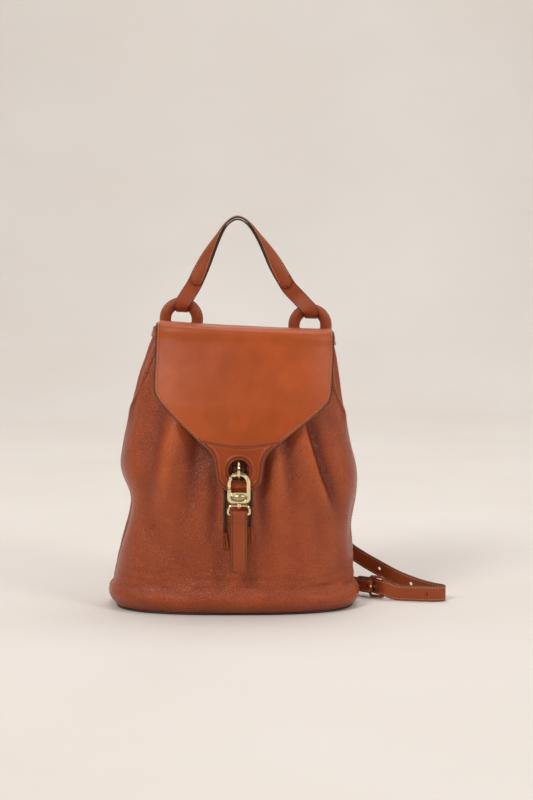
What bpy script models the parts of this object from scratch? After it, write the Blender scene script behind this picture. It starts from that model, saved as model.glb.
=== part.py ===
"""Leather drawstring backpack: gathered body, flap with a snap hook, ringed handle, shoulder straps.

Metres, +Z up. X runs to the bag's left-hand side as worn, Y runs from the flap to the wearer's back.
The origin is the centre of the base's underside.
"""
import math

import bmesh
import bpy
from mathutils import Matrix, Vector

# ---------------------------------------------------------------- driving dimensions

GAP = 0.0003                 # clearance that two touching pieces keep
LEATHER = 0.0020             # thickness of the body panels
LINING = 0.0008

# Height, left, right, front and back of the body's outer face at each station.
BODY_STATIONS = (
    (0.0033, -0.1430, 0.1435, -0.0760, 0.0760),
    (0.0110, -0.1492, 0.1495, -0.0835, 0.0820),
    (0.0190, -0.1516, 0.1500, -0.0850, 0.0830),
    (0.0280, -0.1470, 0.1440, -0.0815, 0.0800),
    (0.0400, -0.1431, 0.1415, -0.0795, 0.0785),
    (0.0650, -0.1385, 0.1415, -0.0785, 0.0770),
    (0.0980, -0.1300, 0.1390, -0.0785, 0.0755),
    (0.1300, -0.1250, 0.1450, -0.0785, 0.0740),
    (0.1560, -0.1358, 0.1473, -0.0790, 0.0725),
    (0.1720, -0.1383, 0.1447, -0.0785, 0.0710),
    (0.2050, -0.1325, 0.1385, -0.0755, 0.0680),
    (0.2400, -0.1245, 0.1345, -0.0690, 0.0635),
    (0.2750, -0.1145, 0.1275, -0.0590, 0.0570),
    (0.3050, -0.1020, 0.1225, -0.0500, 0.0525),
    (0.3280, -0.0945, 0.1185, -0.0460, 0.0500),
)
BODY_POWER = 2.6             # superellipse power of the body's plan
RIM_Z = BODY_STATIONS[-1][0]
FRONT_STEPS = 16             # columns across the front panel
BACK_STEPS = 26

CROWN_LEAN = 0.0125          # sideways lean of the crown's centre at the rim
CROWN_TILT = 0.050           # fall of the crown to the right, metre per metre
CROWN_Z = 0.330              # height at which the crown's tilt is measured

FLAP_CLEARANCE = 0.0060      # room between the body and the flap's lining
FLAP_LEATHER = 0.0018
TAB_LEATHER = 0.0014
FLAP_HINGE = (0.0545, 0.3290)
CLASP_X = 0.0070
HOLE_Z = 0.1720
HOLE_RADIUS = 0.0125

RING_HALF_SPACING = 0.0795
RING_Y = 0.0680
RING_Z = 0.3370              # height of the rings' centres at the crown's centre
RING_RADIUS = 0.0198         # of the tube's centre line
RING_TUBE = 0.0070
RING_CORE = 0.0036

EYELET_TURN = math.radians(9.0)
EYELET_Z = 0.2990
EYELET_HOLE = 0.0039         # radius of the hole that an eyelet's barrel passes
CORD_RADIUS = 0.0015

STRAP_WIDTH = 0.0190
STRAP_THICK = 0.0028

# ---------------------------------------------------------------- colours

COLOURS = {
    "grained_leather": ((0.330, 0.105, 0.046), 0.50, 0.0),
    "smooth_leather": ((0.400, 0.120, 0.048), 0.42, 0.0),
    "strap_leather": ((0.330, 0.100, 0.042), 0.48, 0.0),
    "lining_fabric": ((0.230, 0.150, 0.095), 0.85, 0.0),
    "board": ((0.120, 0.085, 0.060), 0.80, 0.0),
    "brass": ((0.780, 0.600, 0.330), 0.25, 1.0),
    "steel": ((0.560, 0.560, 0.560), 0.35, 1.0),
    "black_cord": ((0.020, 0.016, 0.014), 0.70, 0.0),
}


def material(slot):
    """The Principled material of a slot, made once."""
    found = bpy.data.materials.get(slot)
    if found:
        return found
    colour, roughness, metallic = COLOURS[slot]
    made = bpy.data.materials.new(slot)
    made.use_nodes = True
    shader = made.node_tree.nodes["Principled BSDF"]
    shader.inputs["Base Color"].default_value = (*colour, 1.0)
    shader.inputs["Roughness"].default_value = roughness
    shader.inputs["Metallic"].default_value = metallic
    made.diffuse_color = (*colour, 1.0)
    return made


# ---------------------------------------------------------------- small maths

def smoothstep(low, high, value):
    """A smooth step from 0 at low to 1 at high."""
    share = min(1.0, max(0.0, (value - low) / (high - low)))
    return share * share * (3.0 - 2.0 * share)


def mix(first, second, share):
    """The value a share of the way from the first to the second."""
    return first + (second - first) * share


def catmull(points, spacing):
    """A smooth curve through the points, with a point about every spacing."""
    ends = [points[0] * 2 - points[1], *points, points[-1] * 2 - points[-2]]
    curve = []
    for index in range(1, len(ends) - 2):
        before, start, stop, after = ends[index - 1:index + 3]
        steps = max(1, round((stop - start).length / spacing))
        for step in range(steps):
            t = step / steps
            curve.append(0.5 * (2 * start + (stop - before) * t
                                + (2 * before - 5 * start + 4 * stop - after) * t * t
                                + (3 * start - before - 3 * stop + after) * t * t * t))
    curve.append(points[-1].copy())
    return curve


def arc(centre, radius, start, stop, steps):
    """2D points on an arc, angles in degrees."""
    angles = (math.radians(mix(start, stop, step / steps)) for step in range(steps + 1))
    return [(centre[0] + radius * math.cos(angle), centre[1] + radius * math.sin(angle))
            for angle in angles]


# ---------------------------------------------------------------- object makers

def make_object(name, mesh, slot, sharp=35.0):
    """Links a mesh as a named object with its slot's material."""
    mesh.materials.append(material(slot))
    mesh.shade_smooth()
    mesh.set_sharp_from_angle(angle=math.radians(sharp))
    made = bpy.data.objects.new(name, mesh)
    bpy.context.scene.collection.objects.link(made)
    return made


def mesh_object(name, points, faces, slot):
    """A closed solid from points and faces, with its faces turned outwards."""
    mesh = bpy.data.meshes.new(name)
    mesh.from_pydata([tuple(point) for point in points], [], faces)
    work = bmesh.new()
    work.from_mesh(mesh)
    bmesh.ops.recalc_face_normals(work, faces=work.faces)
    work.to_mesh(mesh)
    work.free()
    return make_object(name, mesh, slot)


def grid_faces(rows, columns, offset=0, wrap=False):
    """Quads between rows of points; wrap joins each row's end to its start."""
    faces = []
    for row in range(rows - 1):
        for column in range(columns if wrap else columns - 1):
            after = (column + 1) % columns
            faces.append((offset + row * columns + column, offset + row * columns + after,
                          offset + (row + 1) * columns + after, offset + (row + 1) * columns + column))
    return faces


def sheet_solid(name, outer, inner, slot):
    """A solid between two open grids of points that have the same rows and columns."""
    rows = len(outer)
    columns = len(outer[0])
    count = rows * columns
    points = [point for row in outer for point in row] + [point for row in inner for point in row]
    faces = grid_faces(rows, columns) + grid_faces(rows, columns, count)
    border = list(range(columns))
    border += [row * columns + columns - 1 for row in range(1, rows)]
    border += [(rows - 1) * columns + column for column in range(columns - 2, -1, -1)]
    border += [row * columns for row in range(rows - 2, 0, -1)]
    for index, point in enumerate(border):
        after = border[(index + 1) % len(border)]
        faces.append((point, after, after + count, point + count))
    return mesh_object(name, points, faces, slot)


def ring_solid(name, sections, slot):
    """A solid swept round a closed way: every section is a closed outline."""
    points = [point for section in sections for point in section]
    count = len(sections[0])
    faces = grid_faces(len(sections), count, wrap=True)
    last = (len(sections) - 1) * count
    for index in range(count):
        after = (index + 1) % count
        faces.append((last + index, last + after, after, index))
    return mesh_object(name, points, faces, slot)


def swept_solid(name, sections, slot):
    """A solid swept along an open way, with flat ends."""
    points = [point for section in sections for point in section]
    count = len(sections[0])
    faces = grid_faces(len(sections), count, wrap=True)
    faces.append(tuple(range(count)))
    faces.append(tuple(range(len(points) - count, len(points))))
    return mesh_object(name, points, faces, slot)


def ribbon(name, path, across, width, thickness, slot):
    """A flat strap along a path; across gives its width direction at each point."""
    sections = []
    for index, point in enumerate(path):
        ahead = path[min(index + 1, len(path) - 1)]
        behind = path[max(index - 1, 0)]
        along = (ahead - behind).normalized()
        side = across[index]
        side = (side - along * side.dot(along)).normalized()
        face = along.cross(side)
        half = width[index] / 2 if isinstance(width, (list, tuple)) else width / 2
        sections.append([point + side * half + face * thickness / 2,
                         point - side * half + face * thickness / 2,
                         point - side * half - face * thickness / 2,
                         point + side * half - face * thickness / 2])
    faces = [(0, 1, 2, 3), tuple(range(4 * len(path) - 1, 4 * len(path) - 5, -1))]
    for index in range(len(path) - 1):
        low = 4 * index
        high = low + 4
        # Both flat sides are split along the same diagonal, so that two twisted straps can lie together.
        faces += [(low, low + 1, high + 1), (low, high + 1, high),
                  (low + 3, high + 2, low + 2), (low + 3, high + 3, high + 2),
                  (low + 1, low + 2, high + 2, high + 1), (low + 3, low, high, high + 3)]
    return mesh_object(name, [point for section in sections for point in section], faces, slot)


def loop_wire(name, path, radius, sides, slot):
    """A round wire along a closed flat path."""
    centre = sum(path, Vector()) / len(path)
    upright = (path[0] - centre).cross(path[len(path) // 3] - centre).normalized()
    sections = []
    for index, point in enumerate(path):
        ahead = path[(index + 1) % len(path)]
        along = (ahead - path[index - 1]).normalized()
        side = along.cross(upright)
        sections.append([point + side * radius * math.cos(2 * math.pi * step / sides)
                         + upright * radius * math.sin(2 * math.pi * step / sides)
                         for step in range(sides)])
    return ring_solid(name, sections, slot)


def cord(name, points, radius, slot):
    """A round cord as a bevelled curve with filled caps."""
    curve = bpy.data.curves.new(name, "CURVE")
    curve.dimensions = "3D"
    curve.bevel_depth = radius
    curve.bevel_resolution = 2
    curve.use_fill_caps = True
    spline = curve.splines.new("POLY")
    spline.points.add(len(points) - 1)
    for target, point in zip(spline.points, points):
        target.co = (*point, 1.0)
    curve.materials.append(material(slot))
    made = bpy.data.objects.new(name, curve)
    bpy.context.scene.collection.objects.link(made)
    return made


def prism(name, outline, frame, depth, slot):
    """A flat outline in the frame's XZ plane, given depth along its Y, centred."""
    count = len(outline)
    points = [frame @ Vector((x, -depth / 2, z)) for x, z in outline]
    points += [frame @ Vector((x, depth / 2, z)) for x, z in outline]
    faces = [tuple(range(count)), tuple(range(2 * count - 1, count - 1, -1))]
    for index in range(count):
        after = (index + 1) % count
        faces.append((index, after, after + count, index + count))
    return mesh_object(name, points, faces, slot)


def lathe(name, outline, frame, steps, slot):
    """A closed outline of (radius, height) turned round the frame's Z."""
    sections = []
    for step in range(steps):
        angle = 2 * math.pi * step / steps
        sections.append([frame @ Vector((radius * math.cos(angle), radius * math.sin(angle), height))
                         for radius, height in outline])
    return ring_solid(name, sections, slot)


def turned(name, outline, frame, steps, slot):
    """A turned solid with material on its axis; the outline starts and ends near it."""
    points = [frame @ Vector((0.0, 0.0, outline[0][1]))]
    for radius, height in outline:
        for step in range(steps):
            angle = 2 * math.pi * step / steps
            points.append(frame @ Vector((radius * math.cos(angle), radius * math.sin(angle), height)))
    points.append(frame @ Vector((0.0, 0.0, outline[-1][1])))
    faces = grid_faces(len(outline), steps, 1, wrap=True)
    last = len(points) - 1
    for step in range(steps):
        after = (step + 1) % steps
        faces.append((0, 1 + after, 1 + step))
        faces.append((last, last - steps + step, last - steps + after))
    return mesh_object(name, points, faces, slot)


def boolean(target, tool, operation="DIFFERENCE"):
    """Cuts the tool from the target, or joins it; the tool itself is left out of the model."""
    change = target.modifiers.new(tool.name, "BOOLEAN")
    change.object = tool
    change.operation = operation
    tool.hide_render = True
    tool.display_type = "WIRE"


def cylinder_tool(name, centre, axis, radius, length, steps=24):
    """A round tool along an axis."""
    turn = Vector((0, 0, 1)).rotation_difference(Vector(axis)).to_matrix().to_4x4()
    frame = Matrix.Translation(centre) @ turn
    return turned(name, [(radius, -length / 2), (radius, length / 2)], frame, steps, "steel")


# ---------------------------------------------------------------- the body's shape

def body_extents(z):
    """Left, right, front and back of the body's outer face at a height."""
    z = min(max(z, BODY_STATIONS[0][0]), BODY_STATIONS[-1][0] + 0.01)
    for low, high in zip(BODY_STATIONS, BODY_STATIONS[1:]):
        if z <= high[0] or high is BODY_STATIONS[-1]:
            share = (z - low[0]) / (high[0] - low[0])
            return [mix(low[item], high[item], share) for item in range(1, 5)]
    return list(BODY_STATIONS[-1][1:])


def crown_centre(z):
    """The place across that the crown's tilt turns about."""
    return CROWN_LEAN * max(0.0, z / CROWN_Z)


def tilted(point):
    """Lowers the right of the crown and raises its left."""
    x, y, z = point
    fall = CROWN_TILT * smoothstep(0.12, 0.30, z)
    return Vector((x, y, z - fall * (x - crown_centre(z))))


def body_point(turn, z, out=0.0, height=None):
    """A point on the body; turn is 0 in front and grows to the right, out is measured outwards."""
    left, right, front, back = body_extents(z)
    power = 2.0 / BODY_POWER
    across = math.sin(turn)
    depth = -math.cos(turn)
    x = (left + right) / 2 + ((right - left) / 2 + out) * math.copysign(abs(across) ** power, across)
    y = (front + back) / 2 + ((back - front) / 2 + out) * math.copysign(abs(depth) ** power, depth)
    return tilted((x, y, z if height is None else height))


def seam_turn(z):
    """Where the side seam runs, as a turn from the front."""
    return math.radians(mix(90.0, 60.0, smoothstep(0.20, 0.28, z)))


SEAM_GAP = math.radians(0.30)


def front_turns(z):
    """The front panel's columns from seam to seam at a height."""
    edge = seam_turn(z) - SEAM_GAP / 2
    return [mix(-edge, edge, step / FRONT_STEPS) for step in range(FRONT_STEPS + 1)]


def back_turns(z):
    """The back panel's columns from seam to seam at a height."""
    edge = seam_turn(z) + SEAM_GAP / 2
    return [mix(edge, 2 * math.pi - edge, step / BACK_STEPS) for step in range(BACK_STEPS + 1)]


def rim_turns():
    """Turns all round the rim, at the same places as both panels' columns."""
    return front_turns(RIM_Z) + back_turns(RIM_Z)


def make_panels():
    """The front and back leather, from the base to the rim."""
    heights = [station[0] for station in BODY_STATIONS]
    for name, turns in (("front_panel", front_turns), ("back_panel", back_turns)):
        outer = [[body_point(turn, z) for turn in turns(z)] for z in heights]
        inner = [[body_point(turn, z, -LEATHER) for turn in turns(z)] for z in heights]
        panel = sheet_solid(name, outer, inner, "grained_leather")
        if name == "front_panel":
            for side, sign in (("left", -1), ("right", 1)):
                frame = eyelet_frame(sign)
                axis = frame.col[2][:3]
                tool = cylinder_tool("eyelet_hole_" + side, frame.translation, axis, EYELET_HOLE, 0.02, 12)
                boolean(panel, tool)


def oval(z, reach, steps=48):
    """The body's plan at the base, grown or shrunk by reach."""
    turns = [2 * math.pi * step / steps for step in range(steps)]
    low = BODY_STATIONS[0][0]
    return [body_point(turn, low, reach, z) for turn in turns]


def make_base():
    """The sole and the board above it."""
    for name, bottom, top, reach, slot in (
            ("base_panel", 0.0, BODY_STATIONS[0][0] - GAP, -0.0015, "smooth_leather"),
            ("base_board", 0.0036, 0.0062, -0.0040, "board")):
        swept_solid(name, [oval(bottom, reach), oval(top, reach)], slot)


def make_lining():
    """An open bag inside the panels: walls and a floor, all one sheet."""
    heights = [0.0085] + [station[0] for station in BODY_STATIONS if 0.015 < station[0] < 0.28] + [0.2840]
    turns = [2 * math.pi * step / 28 for step in range(28)]
    inset = -(LEATHER + 0.0028)
    outer = [[body_point(turn, z, inset - (0.006 if z < 0.01 else 0.0)) for turn in turns] for z in heights]
    inner = [[body_point(turn, z, inset - LINING - (0.006 if z < 0.01 else 0.0)) for turn in turns]
             for z in heights]
    inner[0] = [point + Vector((0, 0, LINING)) for point in inner[0]]
    points = [point for row in outer for point in row] + [point for row in inner for point in row]
    count = len(turns)
    rows = len(heights)
    faces = grid_faces(rows, count, wrap=True) + grid_faces(rows, count, rows * count, wrap=True)
    faces.append(tuple(range(count)))
    faces.append(tuple(range(rows * count, rows * count + count)))
    top = (rows - 1) * count
    for index in range(count):
        after = (index + 1) % count
        faces.append((top + index, top + after, top + rows * count + after, top + rows * count + index))
    mesh_object("lining", points, faces, "lining_fabric")


def make_rim():
    """The binding over the panels' top edge, and the casing strip inside the neck."""
    wall = 0.0012
    top = RIM_Z + GAP
    low = RIM_Z - 0.010
    inside = -LEATHER - GAP
    profile = ((GAP + wall, low), (GAP + wall, top + wall), (inside - wall, top + wall),
               (inside - wall, low), (inside, low), (inside, top), (GAP, top), (GAP, low))
    sections = [[body_point(turn, z, out) for out, z in profile] for turn in rim_turns()]
    ring_solid("rim_binding", sections, "smooth_leather")
    casing = -LEATHER - 0.0060
    profile = ((casing, 0.2880), (casing, 0.3100), (casing - 0.0010, 0.3100), (casing - 0.0010, 0.2880))
    sections = [[body_point(turn, z, out) for out, z in profile] for turn in rim_turns()]
    ring_solid("drawstring_casing", sections, "lining_fabric")


def eyelet_frame(sign):
    """The eyelet's place, with Z out of the bag."""
    here = sign * EYELET_TURN
    centre = body_point(here, EYELET_Z)
    sideways = body_point(here + 0.05, EYELET_Z) - body_point(here - 0.05, EYELET_Z)
    upwards = body_point(here, EYELET_Z + 0.004) - body_point(here, EYELET_Z - 0.004)
    outward = sideways.cross(upwards).normalized()
    turn = Vector((0, 0, 1)).rotation_difference(outward).to_matrix().to_4x4()
    return Matrix.Translation(centre) @ turn


def make_eyelets():
    """The two eyelets that the drawstring leaves the neck by."""
    flange = 0.0060
    barrel = 0.0034
    bore = 0.0028
    outline = ((bore, 0.0016), (flange, 0.0012), (flange, 0.0006), (barrel, 0.0006),
               (barrel, -0.0028), (bore, -0.0028))
    for side, sign in (("left", -1), ("right", 1)):
        lathe("eyelet_" + side, outline, eyelet_frame(sign), 16, "brass")


# ---------------------------------------------------------------- drawstring

def make_drawstring():
    """The held stretch runs inside the casing, from one eyelet round the back to the other."""
    ends = {sign: eyelet_frame(sign) for sign in (-1, 1)}
    route = [ends[1] @ Vector((0, 0, depth)) for depth in (0.0022, -0.0012, -0.0042)]
    steps = 30
    lead = math.radians(17.0)
    for step in range(steps + 1):
        turn = mix(lead, 2 * math.pi - lead, step / steps)
        route.append(body_point(turn, EYELET_Z, -LEATHER - 0.0034))
    route += [ends[-1] @ Vector((0, 0, depth)) for depth in (-0.0042, -0.0012, 0.0022)]
    cord("drawstring", catmull(route, 0.0100), CORD_RADIUS, "black_cord")


# The free ends: place across from the clasp's centre and height, on the body's front.
CORD_ROUTES = {
    "left": ((-0.0165, 0.286), (-0.0172, 0.270), (-0.0165, 0.250), (-0.0150, 0.225), (-0.0145, 0.200),
             (-0.0152, 0.175), (-0.0160, 0.155), (-0.0165, 0.135), (-0.0168, 0.115), (-0.0168, 0.0985)),
    "right": ((0.0225, 0.286), (0.0215, 0.270), (0.0190, 0.250), (0.0165, 0.225), (0.0150, 0.200),
              (0.0144, 0.175), (0.0142, 0.155), (0.0140, 0.138), (0.0134, 0.120), (0.0126, 0.1055)),
}
CORD_STANDOFF = 0.0030
TIP_LENGTH = 0.0175
TIP_WIDTH = 0.0100
TIP_THICK = 0.0036


def front_y(z):
    """The body's front face at a height."""
    return body_extents(z)[2]


def cord_route(side):
    """A free end's own points, from just outside its eyelet to its leather tip."""
    frame = eyelet_frame(-1 if side == "left" else 1)
    route = [frame @ Vector((0, 0, 0.0022 + GAP)), frame @ Vector((0, 0, 0.0036))]
    for across, z in CORD_ROUTES[side]:
        route.append(Vector((CLASP_X + across, front_y(z) - CORD_STANDOFF, z)))
    return route


def make_cord_ends():
    """The drawstring's free ends and their leather tips."""
    for side in ("left", "right"):
        route = cord_route(side)
        cord("drawstring_end_" + side, catmull(route, 0.0085), CORD_RADIUS, "black_cord")
        end = route[-1]
        lean = (route[-1] - route[-2]).normalized()
        top = end + lean * GAP
        turn = Vector((0, 0, -1)).rotation_difference(lean).to_matrix().to_4x4()
        frame = Matrix.Translation(top) @ turn
        half = TIP_WIDTH / 2
        outline = [(-half * 0.55, 0.0), (half * 0.55, 0.0), (half, -TIP_LENGTH), (-half, -TIP_LENGTH)]
        prism("cord_tip_" + side, outline, frame, TIP_THICK, "strap_leather")


# ---------------------------------------------------------------- flap

FLAP_COLUMNS = 12
PLY_GAP = 0.0006             # between the flap's leather and its lining
# Over the top: y and z of the flap's inner face, from the hinge to the front edge of the crown.
FLAP_CROWN = ((0.0545, 0.3290), (0.0540, 0.3315), (0.0505, 0.3328), (0.0380, 0.3332), (0.0200, 0.3333),
              (0.0000, 0.3333), (-0.0200, 0.3336), (-0.0380, 0.3338), (-0.0490, 0.3328), (-0.0540, 0.3275))
# Down the front: height and half-width.
FLAP_FRONT = ((0.3150, 0.1045), (0.2950, 0.1040), (0.2700, 0.1038), (0.2620, 0.1034), (0.2560, 0.1022),
              (0.2500, 0.0988), (0.2400, 0.0892), (0.2235, 0.0706), (0.2090, 0.0535), (0.2010, 0.0450),
              (0.1930, 0.0358), (0.1840, 0.0305), (0.1730, 0.0285), (0.1630, 0.0272), (0.1550, 0.0242),
              (0.1500, 0.0190), (0.1468, 0.0105))
FLAP_TOP_HALF = 0.1045
FLAP_WRAP = 0.55             # how far the flap's sides follow the body's curve back
TAB_FIRST_ROW = len(FLAP_CROWN) + 8


def flap_rows():
    """Inner-face rows of the flap: centre y, z and half-width."""
    rows = [(y, z, FLAP_TOP_HALF) for y, z in FLAP_CROWN]
    for z, half in FLAP_FRONT:
        rows.append((front_y(z) - FLAP_CLEARANCE - LINING - PLY_GAP, z, half))
    return rows


def flap_point(row, share, out, rows, inset=0.0):
    """A point of the flap; share runs from -1 to 1 across, out is measured from its inner face."""
    y, z, half = rows[row]
    behind = rows[max(row - 1, 0)]
    ahead = rows[min(row + 1, len(rows) - 1)]
    along = Vector((0, ahead[0] - behind[0], ahead[1] - behind[1])).normalized()
    outward = Vector((0, along.z, -along.y))
    x = share * (half - inset)
    left, right, front, back = body_extents(min(z, RIM_Z))
    reach = (right - left) / 2
    drop = (1.0 - min(abs(x) / reach, 0.97) ** BODY_POWER) ** (1.0 / BODY_POWER)
    follow = FLAP_WRAP * smoothstep(0.030, -0.050, y)
    wrap = follow * (back - front) / 2 * (1.0 - drop)
    centre = mix(CLASP_X, CROWN_LEAN + 0.001, smoothstep(HOLE_Z, CROWN_Z, z))
    point = Vector((centre + x, y + wrap, z)) + outward * out
    return tilted(point)


def flap_grid(out, first, inset=0.0):
    """One face of a flap layer, from its first row down to the tab's end."""
    rows = flap_rows()
    shares = [mix(-1.0, 1.0, column / FLAP_COLUMNS) for column in range(FLAP_COLUMNS + 1)]
    return [[flap_point(row, share, out, rows, inset) for share in shares]
            for row in range(first, len(rows))]


def make_flap():
    """The flap's leather, its lining and the tab's overlay, all with the clasp's hole."""
    layers = (("flap", 0.0, FLAP_LEATHER, 0, 0.0, "smooth_leather"),
              ("flap_lining", -LINING - PLY_GAP, LINING, 2, 0.0012, "lining_fabric"),
              ("tab_overlay", FLAP_LEATHER + GAP, TAB_LEATHER, TAB_FIRST_ROW, 0.0010, "smooth_leather"))
    for name, base, thickness, first, inset, slot in layers:
        outer = flap_grid(base + thickness, first, inset)
        layer = sheet_solid(name, outer, flap_grid(base, first, inset), slot)
        centre = Vector((CLASP_X, front_y(HOLE_Z) - FLAP_CLEARANCE, HOLE_Z))
        boolean(layer, cylinder_tool(name + "_hole", centre, (0, -1, 0), HOLE_RADIUS, 0.03))


def make_anchor_strip():
    """The strip on the back panel that the flap's back edge is sewn to."""
    turns = [turn for turn in back_turns(RIM_Z) if math.radians(125) <= turn <= math.radians(235)]
    outer = [[body_point(turn, z, 0.0030) for turn in turns] for z in (0.2990, 0.3150)]
    inner = [[body_point(turn, z, 0.0010) for turn in turns] for z in (0.2990, 0.3150)]
    sheet_solid("flap_anchor", outer, inner, "smooth_leather")


# ---------------------------------------------------------------- clasp

CLASP_Y = front_y(HOLE_Z) - FLAP_CLEARANCE - LINING - PLY_GAP - FLAP_LEATHER - 0.0075
HOOK_BAR_Z = 0.1692          # centre of the snap hook's top bar
HOOK_WIDTH = 0.0264
HOOK_BOTTOM = 0.1352
HOOK_LIMB = 0.0042
HOOK_DEPTH = 0.0042
HOOK_TOP_CENTRE = HOOK_BAR_Z + HOOK_LIMB / 2 - HOOK_WIDTH / 2
GATE_LOW = 0.1516
GATE_HIGH = 0.1659
LOOP_RADIUS = 0.00865
LOOP_WIRE = 0.00185
LOOP_Y = CLASP_Y + 0.0012
LOOP_Z = HOOK_BAR_Z + 0.0038


def make_front_chape():
    """The leather seat on the body, with a lug on each side of the loop ring."""
    face = front_y(HOLE_Z) - 0.0006
    frame = Matrix.Translation((CLASP_X, face - 0.0007, HOLE_Z))
    half = 0.0076
    plate = prism("front_chape", [(-half, -0.0150), (half, -0.0150), (half, 0.0150), (-half, 0.0150)],
                  frame, 0.0014, "strap_leather")
    lug_depth = 0.0072
    for side, sign in (("left", -1), ("right", 1)):
        lug_frame = Matrix.Translation((CLASP_X + sign * 0.0046, face - lug_depth / 2 - 0.0005, LOOP_Z))
        lug = prism("chape_lug_" + side, arc((0, 0), 0.0034, 0, 330, 11), lug_frame, lug_depth, "steel")
        lug.scale = (0.6, 1.0, 1.0)
        lug.location = (0.4 * (CLASP_X + sign * 0.0046), 0, 0)
        boolean(plate, lug, "UNION")


def make_loop_ring():
    """The round ring in the hole that the hook holds."""
    path = [Vector((CLASP_X, LOOP_Y + LOOP_RADIUS * math.cos(2 * math.pi * step / 28),
                    LOOP_Z + LOOP_RADIUS * math.sin(2 * math.pi * step / 28))) for step in range(28)]
    loop_wire("loop_ring", path, LOOP_WIRE, 8, "brass")


def hook_outline():
    """The hook as one outline in XZ: the outside, then back along the inside, open at the gate."""
    half = HOOK_WIDTH / 2
    plate_top = HOOK_BOTTOM + 0.0130
    corner = 0.0060
    outside = [(-half, GATE_LOW)]
    outside += arc((-half + corner, HOOK_BOTTOM + corner), corner, 180, 270, 5)
    outside += arc((half - corner, HOOK_BOTTOM + corner), corner, 270, 360, 5)
    outside += arc((0, HOOK_TOP_CENTRE), half, 0, 90, 8)
    outside += arc((0, HOOK_TOP_CENTRE), half, 90, 180, 8)[1:]
    inner = half - HOOK_LIMB
    rise = 0.0016
    inside = arc((0, HOOK_TOP_CENTRE), inner, 180, 0, 12)
    inside += [(inner, plate_top - rise)]
    inside += [(inner * math.cos(angle), plate_top - rise + rise * math.sin(angle))
               for angle in (math.pi * step / 6 for step in range(1, 6))]
    inside += [(-inner, plate_top - rise), (-inner, GATE_LOW)]
    return outside, inside


def make_hook():
    """The snap hook: an open frame with a solid plate below, and its sprung gate."""
    half = HOOK_WIDTH / 2
    frame = Matrix.Translation((CLASP_X, CLASP_Y, 0.0))
    outside, inside = hook_outline()
    hook = prism("hook_body", outside + inside, frame, HOOK_DEPTH, "brass")
    round_edges(hook, 0.0009)
    middle = -half + HOOK_LIMB / 2
    gap = 0.0005
    window = prism("gate_window", [(-half - 0.002, GATE_LOW), (0.0, GATE_LOW), (0.0, GATE_HIGH),
                                   (-half - 0.002, GATE_HIGH)], frame, 0.008, "steel")
    boolean(hook, window)
    pin_z = GATE_LOW - 0.0030
    fork = prism("gate_fork", [(-half - 0.002, pin_z - 0.0027), (middle + 0.0027, pin_z - 0.0027),
                               (middle + 0.0027, GATE_LOW + 0.001), (-half - 0.002, GATE_LOW + 0.001)],
                 frame, 0.0021, "steel")
    boolean(hook, fork)
    pin_centre = Vector((CLASP_X + middle, CLASP_Y, pin_z))
    boolean(hook, cylinder_tool("hook_pin_hole", pin_centre, (0, 1, 0), 0.0010, 0.008, 10))
    tongue = 0.0016
    bar_low = GATE_LOW + 0.0010
    gate_outline = [(middle - 0.0014, bar_low), (middle - 0.0014, pin_z)]
    gate_outline += arc((middle, pin_z), 0.0020, 200, 340, 6)
    gate_outline += [(middle + 0.0014, pin_z), (middle + 0.0014, bar_low)]
    gate = prism("hook_gate", gate_outline, frame, tongue, "brass")
    inner = half - HOOK_LIMB
    chamfer = 0.0009
    bar_top = GATE_HIGH - gap
    tip_inner = -0.0074
    outer_end = 180 - math.degrees(math.asin((bar_top - HOOK_TOP_CENTRE) / half))
    inner_end = math.degrees(math.acos(tip_inner / inner))
    bar_end = bar_low - 0.0001
    bar_outline = [(-half, bar_end), (-inner - chamfer, bar_end), (-inner, bar_low + chamfer)]
    bar_outline += arc((0, HOOK_TOP_CENTRE), inner, 180, inner_end, 4)
    bar_outline += [(tip_inner, bar_top)]
    bar_outline += arc((0, HOOK_TOP_CENTRE), half, outer_end, 180, 4)
    bar = prism("gate_bar", bar_outline, frame, HOOK_DEPTH - 0.0002, "brass")
    boolean(gate, bar, "UNION")
    boolean(gate, cylinder_tool("gate_pin_hole", pin_centre, (0, 1, 0), 0.0010, 0.008, 10))
    cylinder_tool("gate_pin", pin_centre, (0, 1, 0), 0.0007, HOOK_DEPTH, 10)
    set_slot("gate_pin", "brass")


def set_slot(name, slot):
    """Gives an object another slot's material."""
    made = bpy.data.objects[name]
    made.data.materials.clear()
    made.data.materials.append(material(slot))


def round_edges(target, width, segments=2):
    """Bevels the sharp edges of a metal part."""
    bevel = target.modifiers.new("rounded", "BEVEL")
    bevel.width = width
    bevel.segments = segments
    bevel.limit_method = "ANGLE"
    bevel.angle_limit = math.radians(50)


SWIVEL_TOP = HOOK_BOTTOM - 0.0006
SWIVEL_LOW = 0.1300
D_WIDTH = 0.0244             # between the centre lines of the D's sides
D_WIRE = 0.0016
D_BAR_Z = 0.1222
STRAP_FOLD = D_WIRE + 0.0004


def d_path():
    """The swivel eye's wire in XZ, round corners at the top and tight ones at the bar."""
    half = D_WIDTH / 2
    top = (SWIVEL_TOP + SWIVEL_LOW) / 2
    path = arc((half - 0.0050, top - 0.0050), 0.0050, 90, 0, 5)
    path += arc((half - 0.0019, D_BAR_Z + 0.0019), 0.0019, 0, -90, 3)
    path += arc((-half + 0.0019, D_BAR_Z + 0.0019), 0.0019, 270, 180, 3)
    path += arc((-half + 0.0050, top - 0.0050), 0.0050, 180, 90, 5)
    path += [(-0.004, top), (0.0, top), (0.004, top)]
    return [Vector((CLASP_X + x, CLASP_Y, z)) for x, z in path]


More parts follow.
